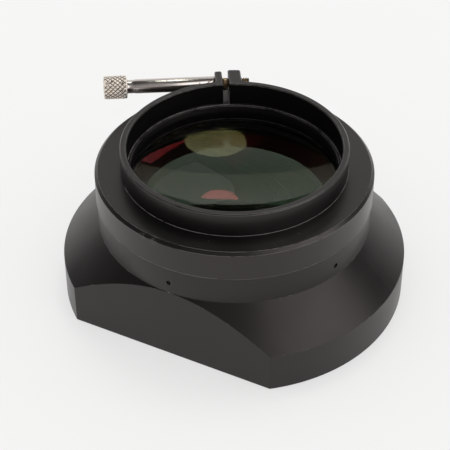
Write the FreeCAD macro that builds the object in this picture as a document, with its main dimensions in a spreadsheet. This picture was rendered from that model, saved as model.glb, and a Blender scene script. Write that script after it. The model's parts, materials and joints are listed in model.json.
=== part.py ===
import FreeCAD, Part
import math
import os
import Sketcher

# Wide angle converter lens for a camera lens with an 85 mm front ring.
# It stands on its front face: Z is the optical axis, z = 0 is the front edge of the housing,
# and the clamp collar that grips the camera lens is at the top. Millimetres.
# The two flats of the housing face -Y and +Y.

# Driving dimensions: one alias and one plain number each.
DRIVING = {
    # Front housing, outside
    "rim_radius": "70",
    "rim_height": "17.2",
    "cone_angle": "45",
    "barrel_radius": "54.9",
    "barrel_height": "12",
    "flat_offset": "0.1",
    "rim_chamfer": "0.5",
    "flat_corner_round": "0.6",
    # Front housing, inside
    "recess_wall": "2.2",
    "pocket_wall": "6.4",
    "bezel_seat": "3.4",
    "lens_seat": "12.7",
    "bevel_clearance": "2.1",
    "cavity_headroom": "3",
    "cavity_overlap": "0.2",
    "throat_step": "3.9",
    "barrel_wall": "3.4",
    "spigot_floor_gap": "0.5",
    # Rear flange and its spigot
    "flange_radius": "55.4",
    "flange_height": "12.4",
    "ledge_chamfer": "1.2",
    "spigot_fit": "0.1",
    "spigot_length": "10.3",
    "spigot_wall": "7.4",
    "light_trap_groove": "0.8",
    "light_trap_pitch": "1.2",
    "light_trap_lead": "1",
    "light_trap_count": "2",
    # Clamp collar
    "bore_radius": "42.5",
    "collar_wall": "2.6",
    "collar_height": "10",
    "collar_chamfer": "0.4",
    "shoulder_drop": "0.4",
    "shoulder_chamfer": "0.2",
    "slot_angle": "121.53",
    "slot_width": "2.6",
    "relief_angle": "105",
    "relief_height": "0.8",
    "thin_ear_width": "3",
    "thin_ear_margin": "4",
    "thick_ear_width": "5.3",
    "thick_ear_margin": "4.7",
    "ear_corner_round": "0.7",
    "thin_ear_root": "0.8",
    "thick_ear_root": "2.2",
    # Thumbscrew
    "screw_axis_offset": "3.9",
    "screw_axis_drop": "3.5",
    "thread_radius": "1.9",
    "thread_fit": "0.05",
    "ear_hole_clearance": "0.3",
    "thread_tip_chamfer": "0.4",
    "thread_stickout": "3.4",
    "shank_radius": "3",
    "shank_gap": "0.2",
    "shank_length": "33.6",
    "neck_radius": "2.85",
    "neck_length": "3",
    "head_radius": "4.9",
    "head_length": "9.8",
    "head_chamfer": "0.45",
    "driver_slot_width": "1.7",
    "driver_slot_depth": "2.6",
    "driver_slot_tilt": "127",
    # Grub screws
    "grub_count": "5",
    "grub_first_angle": "-90",
    "grub_drop": "7.1",
    "grub_radius": "1",
    "grub_fit": "0.02",
    "grub_recess": "0.6",
    "grub_groove_depth": "0.9",
    "grub_socket_width": "0.9",
    "grub_socket_depth": "1.2",
    # Front lens
    "lens_fit": "0.1",
    "lens_seat_width": "4.3",
    "lens_margin": "2.5",
    "front_vertex": "4.2",
    "front_curve": "420",
    "front_thickness": "9.8",
    "inner_curve": "86",
    "inner_margin": "15.8",
    # Bezel and its screws
    "bezel_fit": "0.2",
    "bezel_sink": "0.8",
    "bezel_screw_inset": "4.6",
    "bezel_screw_angle": "25",
    "bezel_screw_spread": "26",
    "bezel_screw_radius": "1",
    "bezel_screw_length": "6",
    "bezel_screw_head": "1.8",
    "bezel_screw_play": "0.1",
    "bezel_screw_slot_width": "0.5",
    "bezel_screw_slot_depth": "0.45",
    # Rear doublet and its retaining ring
    "shoulder_width": "1.2",
    "cell_step": "1.2",
    "cell_lead": "0.7",
    "doublet_fit": "0.1",
    "rear_vertex_drop": "2.9",
    "crown_curve": "220",
    "crown_thickness": "12",
    "cemented_curve": "150",
    "cement_gap": "0.05",
    "flint_thickness": "3.5",
    "rear_curve": "280",
    "ring_width": "1.4",
    "ring_height": "3",
    "ring_chamfer": "0.5",
    "spanner_slot_width": "1.6",
    "spanner_slot_depth": "1.2",
}

# Places that follow from the driving dimensions.
FLAT = "(Size.barrel_radius + Size.flat_offset)"
CONE_TOP = "(Size.rim_height + (Size.rim_radius - Size.barrel_radius) / tan(Size.cone_angle * 1 deg))"
BARREL_TOP = f"({CONE_TOP} + Size.barrel_height)"
LEDGE = f"({BARREL_TOP} + Size.flange_height)"
COLLAR_TOP = f"({LEDGE} + Size.collar_height)"
SHOULDER = f"({LEDGE} - Size.shoulder_drop)"
SOCKET_RADIUS = "(Size.barrel_radius - Size.barrel_wall)"
SPIGOT_RADIUS = f"({SOCKET_RADIUS} - Size.spigot_fit)"
SPIGOT_END = f"({BARREL_TOP} - Size.spigot_length)"
SOCKET_FLOOR = f"({SPIGOT_END} - Size.spigot_floor_gap)"
THROAT_RADIUS = f"({SPIGOT_RADIUS} - Size.throat_step)"
TRAP_RADIUS = f"({SPIGOT_RADIUS} - Size.spigot_wall)"
TRAP_FOOT = f"({SPIGOT_END} + Size.light_trap_lead)"
COLLAR_RADIUS = "(Size.bore_radius + Size.collar_wall)"
HALF_SLOT = "(Size.slot_width / 2)"
THIN_EAR_FACE = f"({HALF_SLOT} + Size.thin_ear_width)"
THICK_EAR_FACE = f"({HALF_SLOT} + Size.thick_ear_width)"
SCREW_RADIUS = f"({COLLAR_RADIUS} + Size.screw_axis_offset)"
SCREW_HEIGHT = f"({COLLAR_TOP} - Size.screw_axis_drop)"
THIN_EAR_REACH = f"({SCREW_RADIUS} + Size.thin_ear_margin)"
THICK_EAR_REACH = f"({SCREW_RADIUS} + Size.thick_ear_margin)"
THREAD_TIP = f"({THICK_EAR_FACE} + Size.thread_stickout)"
SHANK_START = f"({THIN_EAR_FACE} + Size.shank_gap)"
NECK_START = f"({SHANK_START} + Size.shank_length)"
HEAD_START = f"({NECK_START} + Size.neck_length)"
HEAD_END = f"({HEAD_START} + Size.head_length)"
GRUB_HEIGHT = f"({BARREL_TOP} - Size.grub_drop)"
GRUB_OUTER = "(Size.barrel_radius - Size.grub_recess)"
GRUB_TIP = f"({SPIGOT_RADIUS} - Size.grub_groove_depth + Size.grub_fit)"
POCKET_RADIUS = "(Size.rim_radius - Size.pocket_wall)"
POCKET_FLAT = f"({FLAT} - Size.pocket_wall)"
LENS_RADIUS = f"({POCKET_RADIUS} - Size.lens_fit)"
LENS_FLAT = f"({POCKET_FLAT} - Size.lens_fit)"
FRONT_CLEAR = f"({LENS_RADIUS} - Size.lens_margin)"
BEZEL_OPENING_FLAT = f"({LENS_FLAT} - Size.lens_margin)"
INNER_CLEAR = f"({LENS_RADIUS} - Size.inner_margin)"
BEVEL_FOOT = f"({LENS_RADIUS} - Size.lens_seat_width)"
CAVITY_RADIUS = f"({BEVEL_FOOT} + Size.bevel_clearance)"
RECESS_RADIUS = "(Size.rim_radius - Size.recess_wall)"
RECESS_FLAT = f"({FLAT} - Size.recess_wall)"
BEZEL_RADIUS = f"({RECESS_RADIUS} - Size.bezel_fit)"
BEZEL_FLAT = f"({RECESS_FLAT} - Size.bezel_fit)"
BEZEL_SCREW_RADIUS = "(Size.rim_radius - Size.bezel_screw_inset)"
BEZEL_SCREW_FLAT = f"({FLAT} - Size.bezel_screw_inset)"
LIP_RADIUS = "(Size.bore_radius - Size.shoulder_width)"
CELL_RADIUS = f"({LIP_RADIUS} + Size.cell_step)"
DOUBLET_RADIUS = f"({CELL_RADIUS} - Size.doublet_fit)"
RING_INNER = f"({DOUBLET_RADIUS} - Size.ring_width)"


def sag(curve, reach):
    """Depth of a spherical surface of radius curve at the distance reach from its axis."""
    return f"({curve} - sqrt({curve} * {curve} - {reach} * {reach}))"


FRONT_EDGE = f"(Size.front_vertex + {sag('Size.front_curve', FRONT_CLEAR)})"
INNER_VERTEX = "(Size.front_vertex + Size.front_thickness)"
INNER_EDGE = f"({INNER_VERTEX} + {sag('Size.inner_curve', INNER_CLEAR)})"
CAVITY_TOP = f"({INNER_EDGE} + Size.cavity_headroom)"
REAR_VERTEX = f"({SHOULDER} - Size.rear_vertex_drop)"
REAR_EDGE = f"({REAR_VERTEX} - {sag('Size.rear_curve', DOUBLET_RADIUS)})"
CELL_TOP = f"({REAR_VERTEX} - {sag('Size.rear_curve', LIP_RADIUS)})"
FLINT_FOOT = f"({REAR_VERTEX} - Size.flint_thickness)"
FLINT_FOOT_CURVE = "(Size.cemented_curve + Size.cement_gap)"
FLINT_FOOT_EDGE = f"({FLINT_FOOT} - {sag(FLINT_FOOT_CURVE, DOUBLET_RADIUS)})"
CEMENTED_VERTEX = f"({FLINT_FOOT} - Size.cement_gap)"
CEMENTED_EDGE = f"({CEMENTED_VERTEX} - {sag('Size.cemented_curve', DOUBLET_RADIUS)})"
CROWN_VERTEX = f"({CEMENTED_VERTEX} - Size.crown_thickness)"
CROWN_EDGE = f"({CROWN_VERTEX} + {sag('Size.crown_curve', DOUBLET_RADIUS)})"
RING_TOP = f"({CROWN_VERTEX} + {sag('Size.crown_curve', RING_INNER)})"
RING_FOOT = f"({RING_TOP} - Size.ring_height)"
CELL_FOOT = f"({RING_FOOT} - Size.cell_lead)"

# How near an edge has to lie to a place to be the edge that is meant, and how far a cut runs past.
PICK_TOLERANCE = 0.01
OVERRUN = "1"

doc = FreeCAD.newDocument("converter")
sheet = doc.addObject("Spreadsheet::Sheet", "Size")
for row, (alias, number) in enumerate(DRIVING.items(), start=1):
    sheet.set(f"A{row}", alias)
    sheet.set(f"B{row}", number)
    sheet.setAlias(f"B{row}", alias)
doc.recompute()


def value(expression):
    """The number that an expression over the sheet gives."""
    result = sheet.evalExpression(expression)
    return float(getattr(result, "Value", result))


def new_body(label, turn=None):
    """A body with its own label, turned about Z by an angle in degrees where one is given."""
    body = doc.addObject("PartDesign::Body", label)
    body.Label = label
    if turn is not None:
        body.Placement.Rotation = FreeCAD.Rotation(FreeCAD.Vector(0, 0, 1), 1)
        body.setExpression("Placement.Rotation.Angle", f"({turn}) * 1 deg")
    return body


def origin_part(body, role):
    """One of the body's own origin planes or axes."""
    for feature in body.Origin.OriginFeatures:
        if feature.Role == role:
            return feature
    raise ValueError(f"{body.Label} has no {role}")


def new_sketch(body, name, plane, lift=None, shift=None):
    """A sketch on an origin plane, lifted along its normal and shifted along its own y."""
    sketch = body.newObject("Sketcher::SketchObject", f"{body.Label}_{name}")
    sketch.AttachmentSupport = [(origin_part(body, plane), "")]
    sketch.MapMode = "FlatFace"
    if lift is not None:
        sketch.setExpression("AttachmentOffset.Base.z", lift)
    if shift is not None:
        sketch.setExpression("AttachmentOffset.Base.y", shift)
    doc.recompute()
    return sketch


def bind(sketch, kind, places, expression):
    """A dimension of the sketch whose size follows an expression."""
    index = sketch.addConstraint(Sketcher.Constraint(kind, *places, value(expression)))
    sketch.setExpression(f"Constraints[{index}]", expression)


def pin_point(sketch, edge, end, x, y):
    """Fixes the end point of an edge at x and y, which are expressions."""
    for kind, expression, axis in (("DistanceX", x, -2), ("DistanceY", y, -1)):
        if expression == "0":
            sketch.addConstraint(Sketcher.Constraint("PointOnObject", edge, end, axis))
        else:
            bind(sketch, kind, (-1, 1, edge, end), expression)


def outline(sketch, points, arcs=()):
    """A closed outline through the points. Edges listed in arcs are round about the sketch's y axis."""
    spots = [FreeCAD.Vector(value(x), value(y), 0) for x, y in points]
    first_edge = sketch.GeometryCount
    ends = []
    for index, start in enumerate(spots):
        stop = spots[(index + 1) % len(spots)]
        if index in arcs:
            half_sum = (stop.x ** 2 + stop.y ** 2 - start.x ** 2 - start.y ** 2) / 2
            centre = FreeCAD.Vector(0, half_sum / (stop.y - start.y), 0)
            radius = (start - centre).Length
            angles = [math.atan2(spot.y - centre.y, spot.x) for spot in (start, stop)]
            turned = math.sin(angles[1] - angles[0]) < 0
            if turned:
                angles.reverse()
            circle = Part.Circle(centre, FreeCAD.Vector(0, 0, 1), radius)
            edge = sketch.addGeometry(Part.ArcOfCircle(circle, *angles), False)
            sketch.addConstraint(Sketcher.Constraint("PointOnObject", edge, 3, -2))
            ends.append((edge, 2, 1) if turned else (edge, 1, 2))
        else:
            ends.append((sketch.addGeometry(Part.LineSegment(start, stop), False), 1, 2))
    for index, (edge, _, last) in enumerate(ends):
        next_edge, next_first, _ = ends[(index + 1) % len(ends)]
        sketch.addConstraint(Sketcher.Constraint("Coincident", edge, last, next_edge, next_first))
    for (edge, first, _), (x, y) in zip(ends, points):
        pin_point(sketch, edge, first, x, y)
    return first_edge


def rectangle(sketch, left, bottom, right, top):
    """A rectangle between two corners given as expressions."""
    outline(sketch, [(left, bottom), (right, bottom), (right, top), (left, top)])


def circle(sketch, x, y, radius):
    """A circle with its centre and radius given as expressions."""
    centre = FreeCAD.Vector(value(x), value(y), 0)
    edge = sketch.addGeometry(Part.Circle(centre, FreeCAD.Vector(0, 0, 1), value(radius)), False)
    bind(sketch, "Radius", (edge,), radius)
    pin_point(sketch, edge, 3, x, y)


def join_ends(sketch, *edges):
    """Joins each edge's end to the next one's start, and the last one's to the first one's."""
    for edge, next_edge in zip(edges, edges[1:] + edges[:1]):
        sketch.addConstraint(Sketcher.Constraint("Coincident", edge, 2, next_edge, 1))


def flatted_circle(sketch, radius, flat):
    """A circle about the origin, cut straight at the distance flat on both sides in y."""
    reach, height = value(radius), value(flat)
    half = math.sqrt(reach ** 2 - height ** 2)
    angle = math.asin(height / reach)
    ring = Part.Circle(FreeCAD.Vector(0, 0, 0), FreeCAD.Vector(0, 0, 1), reach)
    right = sketch.addGeometry(Part.ArcOfCircle(ring, -angle, angle), False)
    left = sketch.addGeometry(Part.ArcOfCircle(ring, math.pi - angle, math.pi + angle), False)
    top_ends = (FreeCAD.Vector(half, height, 0), FreeCAD.Vector(-half, height, 0))
    low_ends = (FreeCAD.Vector(-half, -height, 0), FreeCAD.Vector(half, -height, 0))
    top = sketch.addGeometry(Part.LineSegment(*top_ends), False)
    low = sketch.addGeometry(Part.LineSegment(*low_ends), False)
    join_ends(sketch, right, top, left, low)
    for arc in (right, left):
        sketch.addConstraint(Sketcher.Constraint("Coincident", arc, 3, -1, 1))
    sketch.addConstraint(Sketcher.Constraint("Horizontal", top))
    sketch.addConstraint(Sketcher.Constraint("Horizontal", low))
    bind(sketch, "Radius", (right,), radius)
    bind(sketch, "DistanceY", (-1, 1, top, 1), flat)
    bind(sketch, "DistanceY", (low, 1, -1, 1), flat)


def changed(body, feature, sign):
    """Recomputes and makes sure that the feature added to the body or took away from it."""
    before = body.Tip.Shape.Volume if body.Tip and body.Tip != feature else 0
    if feature.BaseFeature is not None:
        before = feature.BaseFeature.Shape.Volume
    doc.recompute()
    if (feature.Shape.Volume - before) * sign <= 0:
        raise RuntimeError(f"{feature.Name} changed nothing")
    return feature


def turned(body, sketch, axis="V_Axis"):
    """The solid that a lathe makes from the sketch."""
    feature = body.newObject("PartDesign::Revolution", f"{sketch.Name}_turned")
    feature.Profile = sketch
    feature.ReferenceAxis = (sketch, [axis])
    feature.Angle = 360
    return changed(body, feature, 1)


def grooved(body, sketch, axis="V_Axis"):
    """A turned cut."""
    feature = body.newObject("PartDesign::Groove", f"{sketch.Name}_groove")
    feature.Profile = sketch
    feature.ReferenceAxis = (sketch, [axis])
    feature.Angle = 360
    return changed(body, feature, -1)


def padded(body, sketch, length, downward=False):
    """Material added from the sketch along its normal, or against it."""
    feature = body.newObject("PartDesign::Pad", f"{sketch.Name}_pad")
    feature.Profile = sketch
    feature.setExpression("Length", length)
    feature.Reversed = downward
    return changed(body, feature, 1)


def pocketed(body, sketch, length, along_normal=False):
    """Material cut from the sketch against its normal, or along it."""
    feature = body.newObject("PartDesign::Pocket", f"{sketch.Name}_pocket")
    feature.Profile = sketch
    feature.setExpression("Length", length)
    feature.Reversed = along_normal
    return changed(body, feature, -1)


def softened(body, size_name, size, picks, sign):
    """A fillet (Radius) or chamfer (Size) on the edges of the body that picks accepts."""
    base = body.Tip
    names = [f"Edge{number}" for number, edge in enumerate(base.Shape.Edges, start=1) if picks(edge)]
    kind = "PartDesign::Fillet" if size_name == "Radius" else "PartDesign::Chamfer"
    feature = body.newObject(kind, f"{body.Label}_edges_{len(body.Group)}")
    feature.Base = (base, names)
    feature.setExpression(size_name, size)
    return changed(body, feature, sign)


def edge_ends(edge):
    """The end points of a straight edge, or none where the edge is round."""
    if edge.Curve.TypeId != "Part::GeomLine":
        return []
    return [vertex.Point for vertex in edge.Vertexes]


def upright_at(*places):
    """Picks the upright straight edges that stand at the places x, y of the body's own frame."""
    def picks(edge):
        ends = edge_ends(edge)
        return bool(ends) and any(
            all(math.hypot(end.x - x, end.y - y) < PICK_TOLERANCE for end in ends) for x, y in places
        )
    return picks


def flatted_cut(body, name, flat, foot, height):
    """Cuts the body straight at the distance flat on both sides in y, from foot up over height."""
    reach = f"(Size.rim_radius + {OVERRUN})"
    sketch = new_sketch(body, name, "XY_Plane", lift=foot)
    rectangle(sketch, f"(-{reach})", flat, reach, reach)
    rectangle(sketch, f"(-{reach})", f"(-{reach})", reach, f"(-{flat})")
    return pocketed(body, sketch, height, along_normal=True)


def bezel_screw_places():
    """Where the bezel screws stand, as x and y expressions: four on the arcs, four beside the flats."""
    along = f"({BEZEL_SCREW_RADIUS} * cos(Size.bezel_screw_angle * 1 deg))"
    across = f"({BEZEL_SCREW_RADIUS} * sin(Size.bezel_screw_angle * 1 deg))"
    places = []
    for x_sign in ("", "-"):
        for y_sign in ("", "-"):
            places.append((f"({x_sign}{along})", f"({y_sign}{across})"))
            places.append((f"({x_sign}Size.bezel_screw_spread)", f"({y_sign}{BEZEL_SCREW_FLAT})"))
    return places


def grub_angle(index):
    """The azimuth of one grub screw, in degrees."""
    return f"(Size.grub_first_angle + {index} * 360 / Size.grub_count)"


def housing_blank():
    """The turned outside of the housing with its throat and spigot socket, and the milled flats."""
    blank = new_body("housing_blank")
    profile = new_sketch(blank, "profile", "XZ_Plane")
    outline(profile, [
        (THROAT_RADIUS, "0"),
        ("(Size.rim_radius - Size.rim_chamfer)", "0"),
        ("Size.rim_radius", "Size.rim_chamfer"),
        ("Size.rim_radius", "Size.rim_height"),
        ("Size.barrel_radius", CONE_TOP),
        ("Size.barrel_radius", BARREL_TOP),
        (SOCKET_RADIUS, BARREL_TOP),
        (SOCKET_RADIUS, SOCKET_FLOOR),
        (THROAT_RADIUS, SOCKET_FLOOR),
    ])
    turned(blank, profile)
    flatted_cut(blank, "flats", FLAT, "0", BARREL_TOP)
    flat = value(FLAT)

    def foot_of_flat(edge):
        ends = edge_ends(edge)
        return bool(ends) and all(
            abs(end.z) < PICK_TOLERANCE and abs(abs(end.y) - flat) < PICK_TOLERANCE for end in ends
        )
    softened(blank, "Size", "Size.rim_chamfer", foot_of_flat, -1)
    corner = math.sqrt(value("Size.rim_radius") ** 2 - flat ** 2)
    corners = [(x, y) for x in (corner, -corner) for y in (flat, -flat)]
    softened(blank, "Radius", "Size.flat_corner_round", upright_at(*corners), -1)
    holes = new_sketch(blank, "bezel_screw_holes", "XY_Plane", lift="Size.bezel_seat")
    for x, y in bezel_screw_places():
        circle(holes, x, y, "(Size.bezel_screw_radius + Size.thread_fit)")
    depth = f"(Size.bezel_sink + Size.bezel_screw_length - Size.bezel_seat + {OVERRUN})"
    pocketed(blank, holes, depth, along_normal=True)
    return blank


def housing_cavity():
    """The hollow of the housing's front: bezel recess, lens pocket, and the cone behind the lens."""
    recess = new_body("housing_recess")
    mouth = new_sketch(recess, "mouth", "XY_Plane")
    flatted_circle(mouth, RECESS_RADIUS, RECESS_FLAT)
    padded(recess, mouth, "Size.bezel_seat")
    pocket = new_sketch(recess, "lens_pocket", "XY_Plane")
    flatted_circle(pocket, POCKET_RADIUS, POCKET_FLAT)
    padded(recess, pocket, "Size.lens_seat")
    cone = new_body("housing_cone")
    profile = new_sketch(cone, "profile", "XZ_Plane")
    outline(profile, [
        ("0", "Size.bezel_seat"),
        (CAVITY_RADIUS, "Size.bezel_seat"),
        (CAVITY_RADIUS, "Size.lens_seat"),
        (f"({INNER_CLEAR} - Size.cavity_overlap)", CAVITY_TOP),
        ("0", CAVITY_TOP),
    ])
    turned(cone, profile)
    flatted_cut(cone, "flats", POCKET_FLAT, "0", CAVITY_TOP)
    return [recess, cone]


def grub_holes():
    """Radial holes through the barrel's wall for the grub screws."""
    holes = []
    for index in range(int(value("Size.grub_count"))):
        hole = doc.addObject("Part::Cylinder", f"grub_hole_{index + 1}")
        hole.setExpression("Radius", "Size.grub_radius + Size.grub_fit")
        hole.setExpression("Height", f"Size.barrel_radius - {SPIGOT_RADIUS} + 2 * {OVERRUN}")
        spin = FreeCAD.Rotation(FreeCAD.Vector(0, 0, 1), value(grub_angle(index)))
        lay = FreeCAD.Rotation(FreeCAD.Vector(0, 1, 0), 90)
        start = FreeCAD.Vector(value(f"{SPIGOT_RADIUS} - {OVERRUN}"), 0, value(GRUB_HEIGHT))
        hole.Placement = FreeCAD.Placement(spin.multVec(start), spin.multiply(lay))
        holes.append(hole)
    return holes


def front_housing():
    """The housing: one turned and milled piece."""
    hollow = doc.addObject("Part::MultiFuse", "housing_hollow")
    hollow.Shapes = housing_cavity() + grub_holes()
    housing = doc.addObject("Part::Cut", "front_housing")
    housing.Base = housing_blank()
    housing.Tool = hollow
    doc.recompute()
    return housing


def ear(body, name, near, far, reach, foot):
    """One ear of the clamp, between near and far in y: from the collar's wall out to a turned end."""
    sketch = new_sketch(body, name, "XY_Plane", lift=COLLAR_TOP)
    root = f"((Size.bore_radius + {COLLAR_RADIUS}) / 2)"
    radius, start = value(reach), value(root)
    sides = [value(near), value(far)]
    spots = [FreeCAD.Vector(math.sqrt(radius ** 2 - side ** 2), side, 0) for side in sides]
    roots = [FreeCAD.Vector(start, side, 0) for side in sides]
    ring = Part.Circle(FreeCAD.Vector(0, 0, 0), FreeCAD.Vector(0, 0, 1), radius)
    angles = [math.atan2(spot.y, spot.x) for spot in spots]
    low = sketch.addGeometry(Part.LineSegment(roots[0], spots[0]), False)
    end = sketch.addGeometry(Part.ArcOfCircle(ring, *angles), False)
    top = sketch.addGeometry(Part.LineSegment(spots[1], roots[1]), False)
    back = sketch.addGeometry(Part.LineSegment(roots[1], roots[0]), False)
    join_ends(sketch, low, end, top, back)
    sketch.addConstraint(Sketcher.Constraint("Coincident", end, 3, -1, 1))
    sketch.addConstraint(Sketcher.Constraint("Horizontal", low))
    sketch.addConstraint(Sketcher.Constraint("Horizontal", top))
    bind(sketch, "Radius", (end,), reach)
    pin_point(sketch, low, 1, root, near)
    pin_point(sketch, top, 2, root, far)
    padded(body, sketch, f"({COLLAR_TOP} - {foot})", downward=True)


def rear_flange():
    """The upper band with its ledge and spigot, and the split clamp collar, in one piece."""
    flange = new_body("rear_flange", turn="Size.slot_angle")
    profile = new_sketch(flange, "profile", "XZ_Plane")
    outline(profile, [
        (TRAP_RADIUS, SPIGOT_END),
        (SPIGOT_RADIUS, SPIGOT_END),
        (SPIGOT_RADIUS, f"({GRUB_HEIGHT} - Size.grub_groove_depth)"),
        (f"({SPIGOT_RADIUS} - Size.grub_groove_depth)", GRUB_HEIGHT),
        (SPIGOT_RADIUS, f"({GRUB_HEIGHT} + Size.grub_groove_depth)"),
        (SPIGOT_RADIUS, BARREL_TOP),
        ("Size.flange_radius", BARREL_TOP),
        ("Size.flange_radius", f"({LEDGE} - Size.ledge_chamfer)"),
        ("(Size.flange_radius - Size.ledge_chamfer)", LEDGE),
        (COLLAR_RADIUS, LEDGE),
        (COLLAR_RADIUS, COLLAR_TOP),
        ("(Size.bore_radius + Size.collar_chamfer)", COLLAR_TOP),
        ("Size.bore_radius", f"({COLLAR_TOP} - Size.collar_chamfer)"),
        ("Size.bore_radius", SHOULDER),
        (f"({LIP_RADIUS} + Size.shoulder_chamfer)", SHOULDER),
        (LIP_RADIUS, f"({SHOULDER} - Size.shoulder_chamfer)"),
        (LIP_RADIUS, CELL_TOP),
        (CELL_RADIUS, CELL_TOP),
        (CELL_RADIUS, CELL_FOOT),
        (TRAP_RADIUS, CELL_FOOT),
    ])
    turned(flange, profile)
    ear(flange, "thin_ear", HALF_SLOT, THIN_EAR_FACE, THIN_EAR_REACH, LEDGE)
    ear(flange, "thick_ear", f"(-{THICK_EAR_FACE})", f"(-{HALF_SLOT})", THICK_EAR_REACH, LEDGE)
    slot = new_sketch(flange, "slot", "XY_Plane", lift=LEDGE)
    inside, outside = f"(Size.bore_radius - {OVERRUN})", f"({THICK_EAR_REACH} + {OVERRUN})"
    rectangle(slot, inside, f"(-{HALF_SLOT})", outside, HALF_SLOT)
    pocketed(flange, slot, f"(Size.collar_height + {OVERRUN})", along_normal=True)
    round_ears(flange)
    split_collar(flange)
    trap = new_sketch(flange, "light_trap", "XZ_Plane")
    outline(trap, [
        (f"({TRAP_RADIUS} - {OVERRUN})", TRAP_FOOT),
        (TRAP_RADIUS, TRAP_FOOT),
        (f"({TRAP_RADIUS} + Size.light_trap_groove)", f"({TRAP_FOOT} + Size.light_trap_groove / 2)"),
        (TRAP_RADIUS, f"({TRAP_FOOT} + Size.light_trap_groove)"),
        (f"({TRAP_RADIUS} - {OVERRUN})", f"({TRAP_FOOT} + Size.light_trap_groove)"),
    ])
    groove = grooved(flange, trap)
    pattern = flange.newObject("PartDesign::LinearPattern", "rear_flange_light_traps")
    pattern.Originals = [groove]
    pattern.Direction = (origin_part(flange, "Z_Axis"), [""])
    pattern.setExpression("Length", "(Size.light_trap_count - 1) * Size.light_trap_pitch")
    pattern.setExpression("Occurrences", "Size.light_trap_count")
    flange.Tip = pattern
    doc.recompute()
    return flange


def round_ears(flange):
    """Rounds the ears' outer corners and fillets their roots on the collar."""
    slot_side, thin, thick = value(HALF_SLOT), value(THIN_EAR_FACE), value(THICK_EAR_FACE)
    thin_reach, thick_reach = value(THIN_EAR_REACH), value(THICK_EAR_REACH)
    collar = value(COLLAR_RADIUS)
    ends = [(thin_reach, slot_side), (thin_reach, thin), (thick_reach, -slot_side), (thick_reach, -thick)]
    corners = [(math.sqrt(reach ** 2 - side ** 2), side) for reach, side in ends]
    softened(flange, "Radius", "Size.ear_corner_round", upright_at(*corners), -1)
    thin_root = (math.sqrt(collar ** 2 - thin ** 2), thin)
    thick_root = (math.sqrt(collar ** 2 - thick ** 2), -thick)
    softened(flange, "Radius", "Size.thin_ear_root", upright_at(thin_root), 1)
    softened(flange, "Radius", "Size.thick_ear_root", upright_at(thick_root), 1)
    top = value(COLLAR_TOP)

    def around_top(edge):
        ends = [vertex.Point for vertex in edge.Vertexes]
        level = all(abs(end.z - top) < PICK_TOLERANCE for end in ends)
        return level and all(math.hypot(end.x, end.y) > collar - PICK_TOLERANCE for end in ends)
    softened(flange, "Size", "Size.collar_chamfer", around_top, -1)


def split_collar(flange):
    """The relief slit under the free half of the collar, and the screw's two holes."""
    reach = f"({THICK_EAR_REACH} + {OVERRUN})"
    relief = new_sketch(flange, "relief", "XY_Plane", lift=LEDGE)
    inner, angle = f"(Size.bore_radius - {OVERRUN})", "Size.relief_angle * 1 deg"
    sector(relief, inner, reach, angle)
    pocketed(flange, relief, "Size.relief_height", along_normal=True)
    for name, radius, far_side in (
        ("clearance_hole", "(Size.thread_radius + Size.ear_hole_clearance)", True),
        ("tapped_hole", "(Size.thread_radius + Size.thread_fit)", False),
    ):
        hole = new_sketch(flange, name, "XZ_Plane")
        circle(hole, SCREW_RADIUS, SCREW_HEIGHT, radius)
        depth = f"({THIN_EAR_FACE} + {OVERRUN})" if far_side else f"({THICK_EAR_FACE} + {OVERRUN})"
        pocketed(flange, hole, depth, along_normal=not far_side)


def sector(sketch, inner, outer, angle):
    """A ring sector about the origin from the sketch's x axis round to an angle."""
    near, far, turn = value(inner), value(outer), math.radians(value(angle))
    centre, normal = FreeCAD.Vector(0, 0, 0), FreeCAD.Vector(0, 0, 1)
    direction = FreeCAD.Vector(math.cos(turn), math.sin(turn), 0)
    low = sketch.addGeometry(Part.LineSegment(FreeCAD.Vector(near, 0, 0), FreeCAD.Vector(far, 0, 0)), False)
    arc = sketch.addGeometry(Part.ArcOfCircle(Part.Circle(centre, normal, far), 0, turn), False)
    end = sketch.addGeometry(Part.LineSegment(direction * far, direction * near), False)
    back = sketch.addGeometry(Part.ArcOfCircle(Part.Circle(centre, normal, near), 0, turn), False)
    corners = ((low, 2, arc, 1), (arc, 2, end, 1), (end, 2, back, 2), (back, 1, low, 1))
    for corner in corners:
        sketch.addConstraint(Sketcher.Constraint("Coincident", *corner))
    for round_edge in (arc, back):
        sketch.addConstraint(Sketcher.Constraint("Coincident", round_edge, 3, -1, 1))
    pin_point(sketch, low, 1, inner, "0")
    pin_point(sketch, low, 2, outer, "0")
    bind(sketch, "DistanceX", (-1, 1, end, 1), f"({outer} * cos({angle}))")
    bind(sketch, "DistanceX", (-1, 1, end, 2), f"({inner} * cos({angle}))")


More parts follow.
